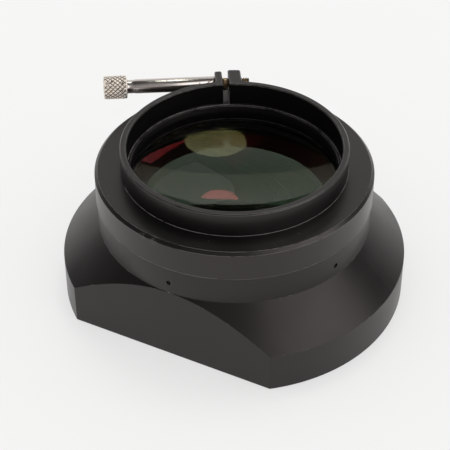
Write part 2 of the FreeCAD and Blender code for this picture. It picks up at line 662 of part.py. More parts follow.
def thumbscrew():
    """The clamp screw, turned in one piece: knurled head, neck, shank and thread."""
    screw = new_body("thumbscrew", turn="Size.slot_angle")
    profile = new_sketch(screw, "profile", "YZ_Plane", lift=SCREW_RADIUS, shift=SCREW_HEIGHT)
    outline(profile, [
        (f"(-{THREAD_TIP})", "0"),
        (f"(-{THREAD_TIP})", "(Size.thread_radius - Size.thread_tip_chamfer)"),
        (f"(-{THREAD_TIP} + Size.thread_tip_chamfer)", "Size.thread_radius"),
        (SHANK_START, "Size.thread_radius"),
        (SHANK_START, "Size.shank_radius"),
        (NECK_START, "Size.shank_radius"),
        (NECK_START, "Size.neck_radius"),
        (HEAD_START, "Size.neck_radius"),
        (HEAD_START, "(Size.head_radius - Size.head_chamfer)"),
        (f"({HEAD_START} + Size.head_chamfer)", "Size.head_radius"),
        (f"({HEAD_END} - Size.head_chamfer)", "Size.head_radius"),
        (HEAD_END, "(Size.head_radius - Size.head_chamfer)"),
        (HEAD_END, "0"),
    ])
    turned(screw, profile, axis="H_Axis")
    slot = new_sketch(screw, "driver_slot", "XZ_Plane", lift=f"(-{HEAD_END})", shift=SCREW_HEIGHT)
    slot.setExpression("AttachmentOffset.Base.x", SCREW_RADIUS)
    slot.AttachmentOffset.Rotation = FreeCAD.Rotation(FreeCAD.Vector(0, 0, 1), 1)
    slot.setExpression("AttachmentOffset.Rotation.Angle", "Size.driver_slot_tilt * 1 deg")
    reach = f"(Size.head_radius + {OVERRUN})"
    rectangle(slot, f"(-{reach})", "(-Size.driver_slot_width / 2)", reach, "(Size.driver_slot_width / 2)")
    pocketed(screw, slot, "Size.driver_slot_depth", along_normal=True)
    return screw


def grub_screw(index):
    """A cone-point set screw with a hexagon socket, in the barrel at its own azimuth."""
    screw = new_body(f"grub_screw_{index + 1}", turn=grub_angle(index))
    profile = new_sketch(screw, "profile", "XZ_Plane", shift=GRUB_HEIGHT)
    outline(profile, [
        (GRUB_TIP, "0"),
        (f"({GRUB_TIP} + Size.grub_radius)", "Size.grub_radius"),
        (GRUB_OUTER, "Size.grub_radius"),
        (GRUB_OUTER, "0"),
    ])
    turned(screw, profile, axis="H_Axis")
    socket = new_sketch(screw, "socket", "YZ_Plane", lift=GRUB_OUTER, shift=GRUB_HEIGHT)
    flat, point = "(Size.grub_socket_width / 2)", "(Size.grub_socket_width / sqrt(3))"
    outline(socket, [
        (point, "0"),
        (f"({point} / 2)", flat),
        (f"(-{point} / 2)", flat),
        (f"(-{point})", "0"),
        (f"(-{point} / 2)", f"(-{flat})"),
        (f"({point} / 2)", f"(-{flat})"),
    ])
    pocketed(screw, socket, "Size.grub_socket_depth")
    return screw


def front_lens():
    """Negative meniscus: gently convex front, deep hollow back, bevelled, with two ground flats."""
    lens = new_body("front_lens")
    profile = new_sketch(lens, "profile", "XZ_Plane")
    outline(profile, [
        ("0", "Size.front_vertex"),
        (FRONT_CLEAR, FRONT_EDGE),
        (LENS_RADIUS, FRONT_EDGE),
        (LENS_RADIUS, "Size.lens_seat"),
        (BEVEL_FOOT, "Size.lens_seat"),
        (INNER_CLEAR, INNER_EDGE),
        ("0", INNER_VERTEX),
    ], arcs=(0, 5))
    turned(lens, profile)
    flatted_cut(lens, "flats", LENS_FLAT, "0", f"({INNER_EDGE} + {OVERRUN})")
    return lens


def front_bezel():
    """The frame over the front lens: a flat flange with countersunk holes and a lip on the two arcs."""
    bezel = new_body("front_bezel")
    flange = new_sketch(bezel, "flange", "XY_Plane", lift="Size.bezel_sink")
    flatted_circle(flange, BEZEL_RADIUS, BEZEL_FLAT)
    flatted_circle(flange, FRONT_CLEAR, BEZEL_OPENING_FLAT)
    padded(bezel, flange, "(Size.bezel_seat - Size.bezel_sink)")
    lip = new_sketch(bezel, "lip", "XY_Plane", lift="Size.bezel_seat")
    circle(lip, "0", "0", f"({POCKET_RADIUS} - Size.bezel_fit)")
    circle(lip, "0", "0", FRONT_CLEAR)
    lip_height = f"({FRONT_EDGE} - Size.bezel_seat)"
    padded(bezel, lip, lip_height)
    flatted_cut(bezel, "lip_ends", f"({POCKET_FLAT} - Size.bezel_fit)", "Size.bezel_seat", lip_height)
    holes = new_sketch(bezel, "screw_holes", "XY_Plane", lift="Size.bezel_sink")
    for x, y in bezel_screw_places():
        circle(holes, x, y, "(Size.bezel_screw_radius + Size.bezel_screw_play)")
    pocketed(bezel, holes, "(Size.bezel_seat - Size.bezel_sink)", along_normal=True)
    sinks = new_sketch(bezel, "countersinks", "XY_Plane", lift="Size.bezel_sink")
    for x, y in bezel_screw_places():
        circle(sinks, x, y, "(Size.bezel_screw_head + Size.bezel_screw_play)")
    cut = pocketed(bezel, sinks, "(Size.bezel_screw_head - Size.bezel_screw_radius)", along_normal=True)
    cut.TaperAngle = -45
    doc.recompute()
    return bezel


def bezel_screw(index, place):
    """A countersunk screw with a plain driver slot, head down, at its place in the bezel."""
    screw = new_body(f"bezel_screw_{index + 1}")
    for axis, expression in zip("xy", place):
        screw.setExpression(f"Placement.Base.{axis}", expression)
    foot = "Size.bezel_sink"
    profile = new_sketch(screw, "profile", "XZ_Plane")
    outline(profile, [
        ("0", foot),
        ("Size.bezel_screw_head", foot),
        ("Size.bezel_screw_radius", f"({foot} + Size.bezel_screw_head - Size.bezel_screw_radius)"),
        ("Size.bezel_screw_radius", f"({foot} + Size.bezel_screw_length)"),
        ("0", f"({foot} + Size.bezel_screw_length)"),
    ])
    turned(screw, profile)
    slot = new_sketch(screw, "slot", "XY_Plane", lift=foot)
    reach, half = f"(Size.bezel_screw_head + {OVERRUN})", "(Size.bezel_screw_slot_width / 2)"
    rectangle(slot, f"(-{reach})", f"(-{half})", reach, half)
    pocketed(screw, slot, "Size.bezel_screw_slot_depth", along_normal=True)
    return screw


def rear_crown_lens():
    """The doublet's lower element, convex on both sides."""
    lens = new_body("rear_crown_lens")
    profile = new_sketch(lens, "profile", "XZ_Plane")
    outline(profile, [
        ("0", CROWN_VERTEX),
        (DOUBLET_RADIUS, CROWN_EDGE),
        (DOUBLET_RADIUS, CEMENTED_EDGE),
        ("0", CEMENTED_VERTEX),
    ], arcs=(0, 2))
    turned(lens, profile)
    return lens


def rear_flint_lens():
    """The doublet's upper element, hollow below to match the crown and gently convex on top."""
    lens = new_body("rear_flint_lens")
    profile = new_sketch(lens, "profile", "XZ_Plane")
    outline(profile, [
        ("0", FLINT_FOOT),
        (DOUBLET_RADIUS, FLINT_FOOT_EDGE),
        (DOUBLET_RADIUS, REAR_EDGE),
        ("0", REAR_VERTEX),
    ], arcs=(0, 2))
    turned(lens, profile)
    return lens


def rear_retaining_ring():
    """The threaded ring under the doublet, with two notches for a spanner."""
    ring = new_body("rear_retaining_ring")
    profile = new_sketch(ring, "profile", "XZ_Plane")
    outline(profile, [
        (RING_INNER, RING_TOP),
        (DOUBLET_RADIUS, RING_TOP),
        (DOUBLET_RADIUS, RING_FOOT),
        (f"({RING_INNER} + Size.ring_chamfer)", RING_FOOT),
        (RING_INNER, f"({RING_FOOT} + Size.ring_chamfer)"),
    ])
    turned(ring, profile)
    notches = new_sketch(ring, "spanner_notches", "XY_Plane", lift=RING_FOOT)
    reach, half = f"({DOUBLET_RADIUS} + {OVERRUN})", "(Size.spanner_slot_width / 2)"
    rectangle(notches, f"(-{reach})", f"(-{half})", reach, half)
    pocketed(ring, notches, "Size.spanner_slot_depth", along_normal=True)
    return ring


def export(nodes):
    """Checks every object of the document and every node's shape, then writes the STEP files."""
    doc.recompute()
    for item in doc.Objects:
        if "Invalid" in item.State or "Error" in item.State:
            raise RuntimeError(f"{item.Label} failed: {item.State}")
    for node in nodes:
        if node.Shape.isNull() or not node.Shape.isValid():
            raise RuntimeError(f"{node.Label} has no valid shape")
    os.makedirs("parts", exist_ok=True)
    for node in nodes:
        node.Shape.exportStep(f"parts/{node.Label}.step")
        box = node.Shape.BoundBox
        print(f"{node.Label}: {len(node.Shape.Solids)} solid, {node.Shape.Volume:.0f} mm3,"
              f" z {box.ZMin:.2f} to {box.ZMax:.2f}")


nodes = [front_housing(), rear_flange(), thumbscrew()]
nodes += [grub_screw(index) for index in range(int(value("Size.grub_count")))]
nodes += [front_lens(), front_bezel()]
nodes += [bezel_screw(index, place) for index, place in enumerate(bezel_screw_places())]
nodes += [rear_crown_lens(), rear_flint_lens(), rear_retaining_ring()]
export(nodes)
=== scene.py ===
import json
import logging
import math
import random
from collections.abc import Callable, Sequence
from dataclasses import dataclass, field
from enum import Enum
from functools import partial

import bmesh
import bpy
from mathutils import Matrix, Vector


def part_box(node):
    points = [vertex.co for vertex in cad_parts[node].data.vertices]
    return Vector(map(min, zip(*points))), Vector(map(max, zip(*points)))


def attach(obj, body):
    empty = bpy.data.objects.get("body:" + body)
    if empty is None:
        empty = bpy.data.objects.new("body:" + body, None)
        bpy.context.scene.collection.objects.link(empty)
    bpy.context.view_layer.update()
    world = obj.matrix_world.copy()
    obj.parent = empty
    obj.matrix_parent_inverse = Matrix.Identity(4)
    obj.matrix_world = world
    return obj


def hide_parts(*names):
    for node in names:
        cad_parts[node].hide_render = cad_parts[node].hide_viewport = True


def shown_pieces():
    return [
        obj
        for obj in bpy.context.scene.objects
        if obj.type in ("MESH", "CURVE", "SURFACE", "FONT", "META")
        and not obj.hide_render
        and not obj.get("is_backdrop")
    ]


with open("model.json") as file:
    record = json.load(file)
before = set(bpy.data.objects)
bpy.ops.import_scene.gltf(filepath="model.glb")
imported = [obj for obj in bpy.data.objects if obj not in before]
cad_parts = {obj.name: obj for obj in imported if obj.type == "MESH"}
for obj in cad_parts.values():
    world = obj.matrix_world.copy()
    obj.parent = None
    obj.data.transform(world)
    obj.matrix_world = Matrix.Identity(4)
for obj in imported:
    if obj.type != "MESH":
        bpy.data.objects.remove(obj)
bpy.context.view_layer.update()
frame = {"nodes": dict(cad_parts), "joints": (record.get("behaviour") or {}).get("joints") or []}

LOG = logging.getLogger("converter_lens")

MM = 0.001
FULL_TURN = 2 * math.pi
CONVERTER = "converter"
THUMBSCREW = "thumbscrew"
# Cosine of the turn between plain and rounded normal, where edge wear starts and where it is full.
EDGE_TURN = (0.985, 0.88)
# Noise levels between which a worn patch and a scratch go from none to full.
PATCH_EDGE = 0.08
STREAK_RANGE = (0.56, 0.68)
# Upward part of the normal between which dust goes from rare to usual.
LYING_RANGE = (-0.1, 0.6)

Colour = tuple[float, float, float]
Profile = list[tuple[float, float]]
Shape = bmesh.types.BMesh
Piece = bpy.types.Object
Material = bpy.types.Material
Node = bpy.types.Node
Socket = bpy.types.NodeSocket
Sockets = dict[str, Socket]


class Ring(Enum):
    """The turned nodes whose boxes give the scene's own pieces their places."""

    FLANGE = "rear_flange"
    CROWN = "rear_crown_lens"
    FLINT = "rear_flint_lens"

    def low(self) -> float:
        """Height of the node's lowest point, in metres."""
        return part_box(self.value)[0][2]

    def high(self) -> float:
        """Height of the node's highest point, in metres."""
        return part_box(self.value)[1][2]

    def reach(self) -> float:
        """Largest x of the node, in metres."""
        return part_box(self.value)[1][0]


class NodeTree:
    """A short way to place and link shader nodes."""

    def __init__(self, tree: bpy.types.NodeTree) -> None:
        """Keeps the tree.

        Args:
            tree: the material's, world's or group's node tree.
        """
        self.tree = tree

    def add(self, kind: str, settings: dict | None = None, **inputs: object) -> Node:
        """Adds one node.

        Args:
            kind: the node's type name.
            settings: attributes of the node itself.
            **inputs: socket values or sockets to link, named by socket with spaces as underscores.

        Returns:
            The node.
        """
        node = self.tree.nodes.new(kind)
        for name, value in (settings or {}).items():
            setattr(node, name, value)
        for name, value in inputs.items():
            key = int(name[2:]) if name.startswith("in") and name[2:].isdigit() else name.replace("_", " ")
            self.feed(node.inputs[key], value)
        return node

    def feed(self, socket: Socket, value: object) -> None:
        """Links a socket to another one, or sets its plain value.

        Args:
            socket: the input socket.
            value: an output socket or a number, colour or vector.
        """
        if isinstance(value, Socket):
            self.tree.links.new(value, socket)
        elif isinstance(value, tuple) and len(value) == 3 and socket.type == "RGBA":
            socket.default_value = (*value, 1.0)
        else:
            socket.default_value = value

    def math(self, operation: str, first: object, second: object = 0.0) -> Socket:
        """One arithmetic step.

        Args:
            operation: the name of the operation.
            first: a socket or number.
            second: a socket or number.

        Returns:
            The result's socket.
        """
        return self.add("ShaderNodeMath", {"operation": operation}, in0=first, in1=second).outputs[0]

    def spread(self, value: object, low: float, high: float, to_low: float, to_high: float) -> Socket:
        """Maps a range of values smoothly onto another one.

        Args:
            value: a socket.
            low: start of the range.
            high: end of the range.
            to_low: result at the start.
            to_high: result at the end.

        Returns:
            The result's socket.
        """
        node = self.add("ShaderNodeMapRange", {"interpolation_type": "SMOOTHSTEP"}, Value=value,
                        From_Min=low, From_Max=high, To_Min=to_low, To_Max=to_high)
        return node.outputs["Result"]

    def blend(self, factor: object, first: object, second: object) -> Socket:
        """Mixes two colours.

        Args:
            factor: a socket or number.
            first: colour at 0.
            second: colour at 1.

        Returns:
            The mixed colour's socket.
        """
        node = self.add("ShaderNodeMix", {"data_type": "RGBA"})
        self.feed(node.inputs[0], factor)
        self.feed(node.inputs[6], first)
        self.feed(node.inputs[7], second)
        return node.outputs[2]


@dataclass(frozen=True)
class GroupInput:
    """One named input of an effect group."""

    name: str
    default: float | Colour
    kind: str = "NodeSocketFloat"


class EffectGroup:
    """A shader node group with named inputs and outputs, made once and used by many materials."""

    def __init__(self, name: str, inputs: Sequence[GroupInput], outputs: dict[str, str],
                 build: Callable[[NodeTree, Node], Sockets]) -> None:
        """Makes the group's sockets and fills it.

        Args:
            name: the group's name.
            inputs: its inputs.
            outputs: names and socket types of its outputs.
            build: fills the group and gives a socket for each output.
        """
        self.group = bpy.data.node_groups.new(name, "ShaderNodeTree")
        for item in inputs:
            socket = self.group.interface.new_socket(item.name, in_out="INPUT", socket_type=item.kind)
            coloured = item.kind == "NodeSocketColor"
            socket.default_value = (*item.default, 1.0) if coloured else item.default
        for output, kind in outputs.items():
            self.group.interface.new_socket(output, in_out="OUTPUT", socket_type=kind)
        tree = NodeTree(self.group)
        results = build(tree, self.group.nodes.new("NodeGroupInput"))
        end = self.group.nodes.new("NodeGroupOutput")
        for output, socket in results.items():
            tree.feed(end.inputs[output], socket)

    def place(self, tree: NodeTree, **inputs: object) -> Node:
        """Puts the group into a material.

        Args:
            tree: the material's tree.
            **inputs: values or sockets by input name, with spaces as underscores.

        Returns:
            The group's node.
        """
        node = tree.add("ShaderNodeGroup", {"node_tree": self.group})
        for name, value in inputs.items():
            tree.feed(node.inputs[name.replace("_", " ")], value)
        return node


def fill_grain(tree: NodeTree, given: Node) -> Sockets:
    """The fine matt grain of a blasted and anodised surface.

    Args:
        tree: the group's tree.
        given: the group's input node.

    Returns:
        Sockets for the grain's height and for the slow change of tone.
    """
    place = tree.add("ShaderNodeTexCoord").outputs["Object"]
    fine = tree.add("ShaderNodeTexNoise", Vector=place, Scale=given.outputs["Fine Scale"], Detail=3.0)
    slow = tree.add("ShaderNodeTexNoise", Vector=place, Scale=given.outputs["Slow Scale"], Detail=2.0)
    return {"Height": fine.outputs["Fac"], "Tone": tree.spread(slow.outputs["Fac"], 0.3, 0.7, 0.0, 1.0)}


def fill_turning(tree: NodeTree, given: Node) -> Sockets:
    """Fine rings that a lathe tool leaves round the optical axis.

    Args:
        tree: the group's tree.
        given: the group's input node.

    Returns:
        The socket of the rings' height.
    """
    place = tree.add("ShaderNodeTexCoord").outputs["Object"]
    parts = tree.add("ShaderNodeSeparateXYZ", Vector=place)
    flat = tree.add("ShaderNodeCombineXYZ", X=parts.outputs["X"], Y=parts.outputs["Y"])
    radius = tree.add("ShaderNodeVectorMath", {"operation": "LENGTH"}, in0=flat.outputs[0]).outputs["Value"]
    along = tree.math("ADD", radius, parts.outputs["Z"])
    spot = tree.add("ShaderNodeCombineXYZ", X=tree.math("MULTIPLY", along, given.outputs["Rings Per Metre"]))
    rings = tree.add("ShaderNodeTexNoise", Vector=spot.outputs[0], Scale=1.0, Detail=2.0)
    return {"Height": rings.outputs["Fac"]}


def fill_wear(tree: NodeTree, given: Node) -> Sockets:
    """Bright rubbed metal on the edges, broken up by noise, and the edges' own rounding.

    Args:
        tree: the group's tree.
        given: the group's input node.

    Returns:
        Sockets for the wear mask and for the rounded normal.
    """
    rounded = tree.add("ShaderNodeBevel", {"samples": 6}, Radius=given.outputs["Edge Radius"])
    plain = tree.add("ShaderNodeNewGeometry").outputs["Normal"]
    turn = tree.add("ShaderNodeVectorMath", {"operation": "DOT_PRODUCT"}, in0=rounded.outputs[0], in1=plain)
    edge = tree.spread(turn.outputs["Value"], *EDGE_TURN, 0.0, 1.0)
    place = tree.add("ShaderNodeTexCoord").outputs["Object"]
    patches = tree.add("ShaderNodeTexNoise", Vector=place, Scale=given.outputs["Patch Scale"], Detail=6.0,
                       Roughness=0.7)
    limit = tree.math("SUBTRACT", 1.0, given.outputs["Amount"])
    broken = tree.add("ShaderNodeMapRange", Value=patches.outputs["Fac"], From_Min=limit,
                      From_Max=tree.math("ADD", limit, PATCH_EDGE))
    return {"Mask": tree.math("MULTIPLY", edge, broken.outputs["Result"]), "Normal": rounded.outputs[0]}


def fill_dust(tree: NodeTree, given: Node) -> Sockets:
    """Sparse pale specks that lie on the upward sides.

    Args:
        tree: the group's tree.
        given: the group's input node.

    Returns:
        The socket of the specks' mask.
    """
    place = tree.add("ShaderNodeTexCoord").outputs["Object"]
    cells = tree.add("ShaderNodeTexVoronoi", Vector=place, Scale=given.outputs["Scale"], Randomness=1.0)
    near = tree.spread(cells.outputs["Distance"], given.outputs["Size"], 0.0, 0.0, 1.0)
    parts = tree.add("ShaderNodeSeparateColor", Color=cells.outputs["Color"])
    chosen = tree.math("GREATER_THAN", parts.outputs[0], given.outputs["Rarity"])
    normal = tree.add("ShaderNodeNewGeometry").outputs["Normal"]
    upward = tree.add("ShaderNodeSeparateXYZ", Vector=normal).outputs["Z"]
    lying = tree.spread(upward, *LYING_RANGE, 0.25, 1.0)
    return {"Mask": tree.math("MULTIPLY", tree.math("MULTIPLY", near, chosen), lying)}


def fill_lathe_lines(tree: NodeTree, given: Node) -> Sockets:
    """Fine turned lines across a small shaft.

    Args:
        tree: the group's tree.
        given: the group's input node, with the shaft's direction.

    Returns:
        The socket of the lines' height.
    """
    place = tree.add("ShaderNodeTexCoord").outputs["Object"]
    along = tree.add("ShaderNodeVectorMath", {"operation": "DOT_PRODUCT"}, in0=place,
                     in1=given.outputs["Direction"]).outputs["Value"]
    spot = tree.add("ShaderNodeCombineXYZ", X=tree.math("MULTIPLY", along, given.outputs["Lines Per Metre"]))
    lines = tree.add("ShaderNodeTexNoise", Vector=spot.outputs[0], Scale=1.0, Detail=4.0, Roughness=0.7)
    return {"Height": lines.outputs["Fac"]}


def fill_scuff(tree: NodeTree, given: Node) -> Sockets:
    """Light scratches round one knocked place.

    Args:
        tree: the group's tree.
        given: the group's input node, with the place and its reach.

    Returns:
        The socket of the scratches' mask.
    """
    place = tree.add("ShaderNodeTexCoord").outputs["Object"]
    away = tree.add("ShaderNodeVectorMath", {"operation": "DISTANCE"}, in0=place, in1=given.outputs["Place"])
    near = tree.spread(away.outputs["Value"], given.outputs["Reach"], 0.0, 0.0, 1.0)
    streaks = tree.add("ShaderNodeTexNoise", Vector=place, Scale=1500.0, Detail=4.0, Roughness=0.75,
                       Distortion=1.5)
    return {"Mask": tree.math("MULTIPLY", near, tree.spread(streaks.outputs["Fac"], *STREAK_RANGE, 0.0, 1.0))}


class Effects:
    """The effect groups of this object's finishes."""

    def __init__(self) -> None:
        """Makes every group once."""
        number = "NodeSocketFloat"
        self.grain = EffectGroup("blasted_grain", [GroupInput("Fine Scale", 5200.0),
                                                   GroupInput("Slow Scale", 40.0)],
                                 {"Height": number, "Tone": number}, fill_grain)
        self.turning = EffectGroup("turning_rings", [GroupInput("Rings Per Metre", 5000.0)],
                                   {"Height": number}, fill_turning)
        self.wear = EffectGroup("edge_wear", [GroupInput("Edge Radius", 0.00035), GroupInput("Amount", 0.4),
                                              GroupInput("Patch Scale", 260.0)],
                                {"Mask": number, "Normal": "NodeSocketVector"}, fill_wear)
        self.dust = EffectGroup("dust_specks", [GroupInput("Scale", 420.0), GroupInput("Size", 0.06),
                                                GroupInput("Rarity", 0.93)],
                                {"Mask": number}, fill_dust)
        vector = "NodeSocketVector"
        self.lathe = EffectGroup("lathe_lines", [GroupInput("Direction", (1.0, 0.0, 0.0), vector),
                                                 GroupInput("Lines Per Metre", 4200.0)],
                                 {"Height": number}, fill_lathe_lines)
        self.scuff = EffectGroup("knock_scuff", [GroupInput("Place", (0.0, 0.0, 0.0), vector),
                                                 GroupInput("Reach", 0.004)],
                                 {"Mask": number}, fill_scuff)


@dataclass(frozen=True)
class AnodisedFinish:
    """Black anodised aluminium, blasted or turned."""

    name: str
    colour: Colour
    roughness: float
    grain_depth: float = 0.00001
    turning_depth: float = 0.0
    rings_per_metre: float = 5000.0
    wear: float = 0.4
    wear_colour: Colour = (0.30, 0.29, 0.28)
    edge_radius: float = 0.00035
    dust: float = 0.6
    specular: float = 0.56
    sheen: Colour = (1.0, 0.91, 0.88)
    knocks: tuple[tuple[Colour, float], ...] = ()
    scratch_colour: Colour = (0.42, 0.40, 0.38)
    dust_colour: Colour = (0.5, 0.5, 0.48)
    darkest: float = 0.86
    roughness_change: float = 0.03

    def material(self, effects: Effects) -> Material:
        """Makes the material.

        Args:
            effects: the shared effect groups.

        Returns:
            The material.
        """
        material, tree, shader = new_material(self.name)
        grain = effects.grain.place(tree)
        worn = effects.wear.place(tree, Amount=self.wear, Edge_Radius=self.edge_radius)
        dust = effects.dust.place(tree)
        darker = tuple(self.darkest * part for part in self.colour)
        tone = tree.blend(grain.outputs["Tone"], darker, self.colour)
        rubbed = tree.blend(worn.outputs["Mask"], tone, self.wear_colour)
        for place, reach in self.knocks:
            scratched = effects.scuff.place(tree, Place=place, Reach=reach)
            rubbed = tree.blend(scratched.outputs["Mask"], rubbed, self.scratch_colour)
        specks = tree.math("MULTIPLY", dust.outputs["Mask"], self.dust)
        tree.feed(shader.inputs["Base Color"], tree.blend(specks, rubbed, self.dust_colour))
        rough = tree.spread(grain.outputs["Tone"], 0.0, 1.0, self.roughness - self.roughness_change,
                            self.roughness + self.roughness_change)
        tree.feed(shader.inputs["Roughness"], rough)
        shader.inputs["Specular IOR Level"].default_value = self.specular
        shader.inputs["Specular Tint"].default_value = (*self.sheen, 1.0)
        bump = tree.add("ShaderNodeBump", Strength=1.0, Distance=self.grain_depth,
                        Height=grain.outputs["Height"], Normal=worn.outputs["Normal"])
        if self.turning_depth:
            rings = effects.turning.place(tree, Rings_Per_Metre=self.rings_per_metre)
            bump = tree.add("ShaderNodeBump", Strength=1.0, Distance=self.turning_depth,
                            Height=rings.outputs["Height"], Normal=bump.outputs[0])
        tree.feed(shader.inputs["Normal"], bump.outputs[0])
        return material


@dataclass(frozen=True)
class PlatedFinish:
    """Nickel plated steel with turned lines, and brown grime where it is threaded or knurled."""

    name: str
    axis: Colour
    colour: Colour = (0.66, 0.62, 0.57)
    grime: Colour = (0.10, 0.065, 0.035)
    roughness: float = 0.3
    grime_level: float = 0.25
    turning_depth: float = 0.000012
    metal: float = 1.0
    grime_metal: float = 0.35
    grime_roughness: float = 0.55

    def material(self, effects: Effects) -> Material:
        """Makes the material.

        Args:
            effects: the shared effect groups.

        Returns:
            The material.
        """
        material, tree, shader = new_material(self.name)
        grain = effects.grain.place(tree, Fine_Scale=1800.0, Slow_Scale=420.0)
        dirty = tree.spread(grain.outputs["Tone"], 1.0 - self.grime_level, 1.0, 0.0, 1.0)
        tree.feed(shader.inputs["Base Color"], tree.blend(dirty, self.colour, self.grime))
        tree.feed(shader.inputs["Metallic"], tree.spread(dirty, 0.0, 1.0, self.metal, self.grime_metal))
        tree.feed(shader.inputs["Roughness"], tree.spread(dirty, 0.0, 1.0, self.roughness, self.grime_roughness))
        lines = effects.lathe.place(tree, Direction=self.axis)
        bump = tree.add("ShaderNodeBump", Strength=1.0, Distance=self.turning_depth,
                        Height=lines.outputs["Height"])
        tree.feed(shader.inputs["Normal"], bump.outputs[0])
        return material


@dataclass(frozen=True)
class GlassFinish:
    """A polished glass surface with its coating.

    The index is that of the glass against what lies outside the surface, and the coating tints
    what the surface mirrors. The near-black absorption inside the glass, where it is set, is
    painted shade that darkens what is seen through the glass and what it mirrors inside.
    """

    name: str
    index: float
    coating: Colour
    colour: Colour = (0.985, 0.995, 0.985)
    painted_shade_density: float = 0.0
    painted_shade_colour: Colour = (0.02, 0.02, 0.02)

    def material(self) -> Material:
        """Makes the material.

        Returns:
            The material.
        """
        material, tree, shader = new_material(self.name)
        shader.inputs["Base Color"].default_value = (*self.colour, 1.0)
        shader.inputs["Transmission Weight"].default_value = 1.0
        shader.inputs["Roughness"].default_value = 0.0
        shader.inputs["IOR"].default_value = self.index
        shader.inputs["Specular Tint"].default_value = (*self.coating, 1.0)
        # Painted shade: a strong near-black absorption inside the glass darkens the view through it and its
        # inner mirror images.
        if self.painted_shade_density:
            depth = tree.add("ShaderNodeVolumeAbsorption", Color=self.painted_shade_colour, Density=self.painted_shade_density)
            tree.feed(material.node_tree.nodes["Material Output"].inputs["Volume"], depth.outputs[0])
        return material


def new_material(name: str) -> tuple[Material, NodeTree, Node]:
    """Makes an empty material.

    Args:
        name: its name.

    Returns:
        The material, its tree and its Principled shader.
    """
    material = bpy.data.materials.new(name)
    material.use_nodes = True
    shader = material.node_tree.nodes["Principled BSDF"]
    return material, NodeTree(material.node_tree), shader


def new_object(name: str, build: Callable[[Shape], None], materials: Sequence[Material],
               smooth: bool = True) -> Piece:
    """Makes a mesh object in the row frame.

    Args:
        name: the piece's name.
        build: fills the mesh, in metres.
        materials: the piece's materials by slot.
        smooth: shades the faces smoothly.

    Returns:
        The object.
    """
    mesh = bpy.data.meshes.new(name)
    shape = bmesh.new()
    build(shape)
    bmesh.ops.recalc_face_normals(shape, faces=shape.faces)
    for face in shape.faces:
        face.smooth = smooth
    shape.to_mesh(mesh)
    shape.free()
    for material in materials:
        mesh.materials.append(material)
    made = bpy.data.objects.new(name, mesh)
    bpy.context.scene.collection.objects.link(made)
    return made


def finish_node(node: str, material: Material) -> None:
    """Gives a CAD node its material.

    Args:
        node: the node's name.
        material: what it is dressed in.
    """
    shown = frame["nodes"][node]
    shown.data.materials.clear()
    shown.data.materials.append(material)
    LOG.info("dressed %s in %s", node, material.name)


def grid_of_rows(shape: Shape, rows: list[list[Vector]]) -> None:
    """Joins closed rings of points into one skin and closes both ends with a fan.

    Args:
        shape: the mesh that is filled.
        rows: rings with the same number of points.
    """
    rings = [[shape.verts.new(point) for point in row] for row in rows]
    count = len(rows[0])
    for low, high in zip(rings, rings[1:]):
        for index in range(count):
            other = (index + 1) % count
            shape.faces.new((low[index], low[other], high[other], high[index]))
    for ring in (rings[0], rings[-1]):
        middle = sum((vert.co for vert in ring), Vector()) / count
        centre = shape.verts.new(middle)
        for index in range(count):
            shape.faces.new((ring[index], ring[(index + 1) % count], centre))


def turn_profile(shape: Shape, profile: Profile, segments: int, slots: Sequence[int] = ()) -> None:
    """Turns an open profile that starts and ends on the Z axis, or a closed one that stays off it.

    Args:
        shape: the mesh that is filled.
        profile: points as radius and height, in metres.
        segments: steps in a full turn.
        slots: the material slot of each stretch of the profile.
    """
    rings: list[list[bmesh.types.BMVert]] = []
    for radius, height in profile:
        if radius == 0:
            rings.append([shape.verts.new((0, 0, height))])
            continue
        angles = [FULL_TURN * step / segments for step in range(segments)]
        rings.append([shape.verts.new((radius * math.cos(turn), radius * math.sin(turn), height))
                      for turn in angles])
    closed = len(rings[0]) > 1
    pairs = list(zip(rings, rings[1:]))
    if closed:
        pairs.append((rings[-1], rings[0]))
    for stretch, (low, high) in enumerate(pairs):
        for index in range(segments):
            other = (index + 1) % segments
            if len(low) == 1:
                face = shape.faces.new((low[0], high[index], high[other]))
            elif len(high) == 1:
                face = shape.faces.new((low[index], low[other], high[0]))
            else:
                face = shape.faces.new((low[index], low[other], high[other], high[index]))
            if slots:
                face.material_index = slots[stretch]


def mark_sharp(shape: Shape, limit: float = math.radians(28)) -> None:
    """Keeps the edges crisp where two faces meet at more than the limit.

    Args:
        shape: the mesh.
        limit: angle in radians.
    """
    for edge in shape.edges:
        if len(edge.link_faces) == 2 and edge.calc_face_angle() > limit:
            edge.smooth = False


def sag(curve: float, radius: float) -> float:
    """Depth of a spherical surface at a distance from its axis.

    Args:
        curve: radius of the sphere.
        radius: distance from the axis.

    Returns:
        The depth, in the same units.
    """
    return curve - math.sqrt(curve * curve - radius * radius)


def dome(vertex: float, curve: float, reach: float, steps: int, bowl: bool) -> Profile:
    """A spherical surface's profile from the axis outwards.

    Args:
        vertex: height on the axis.
        curve: radius of the sphere.
        reach: where the surface ends.
        steps: number of stretches.
        bowl: the surface rises away from the axis.

    Returns:
        The points.
    """
    sign = 1 if bowl else -1
    radii = [reach * step / steps for step in range(steps + 1)]
    return [(radius, vertex + sign * sag(curve, radius)) for radius in radii]


class Coating(Enum):
    """What each lens surface mirrors most."""

    GREEN = (0.013, 0.21, 0.01)
    NONE = (0.0, 0.0, 0.0)
    OLIVE = (0.25, 0.21, 0.05)
    MAGENTA = (0.75, 0.04, 0.06)
    PALE = (0.35, 0.4, 0.35)


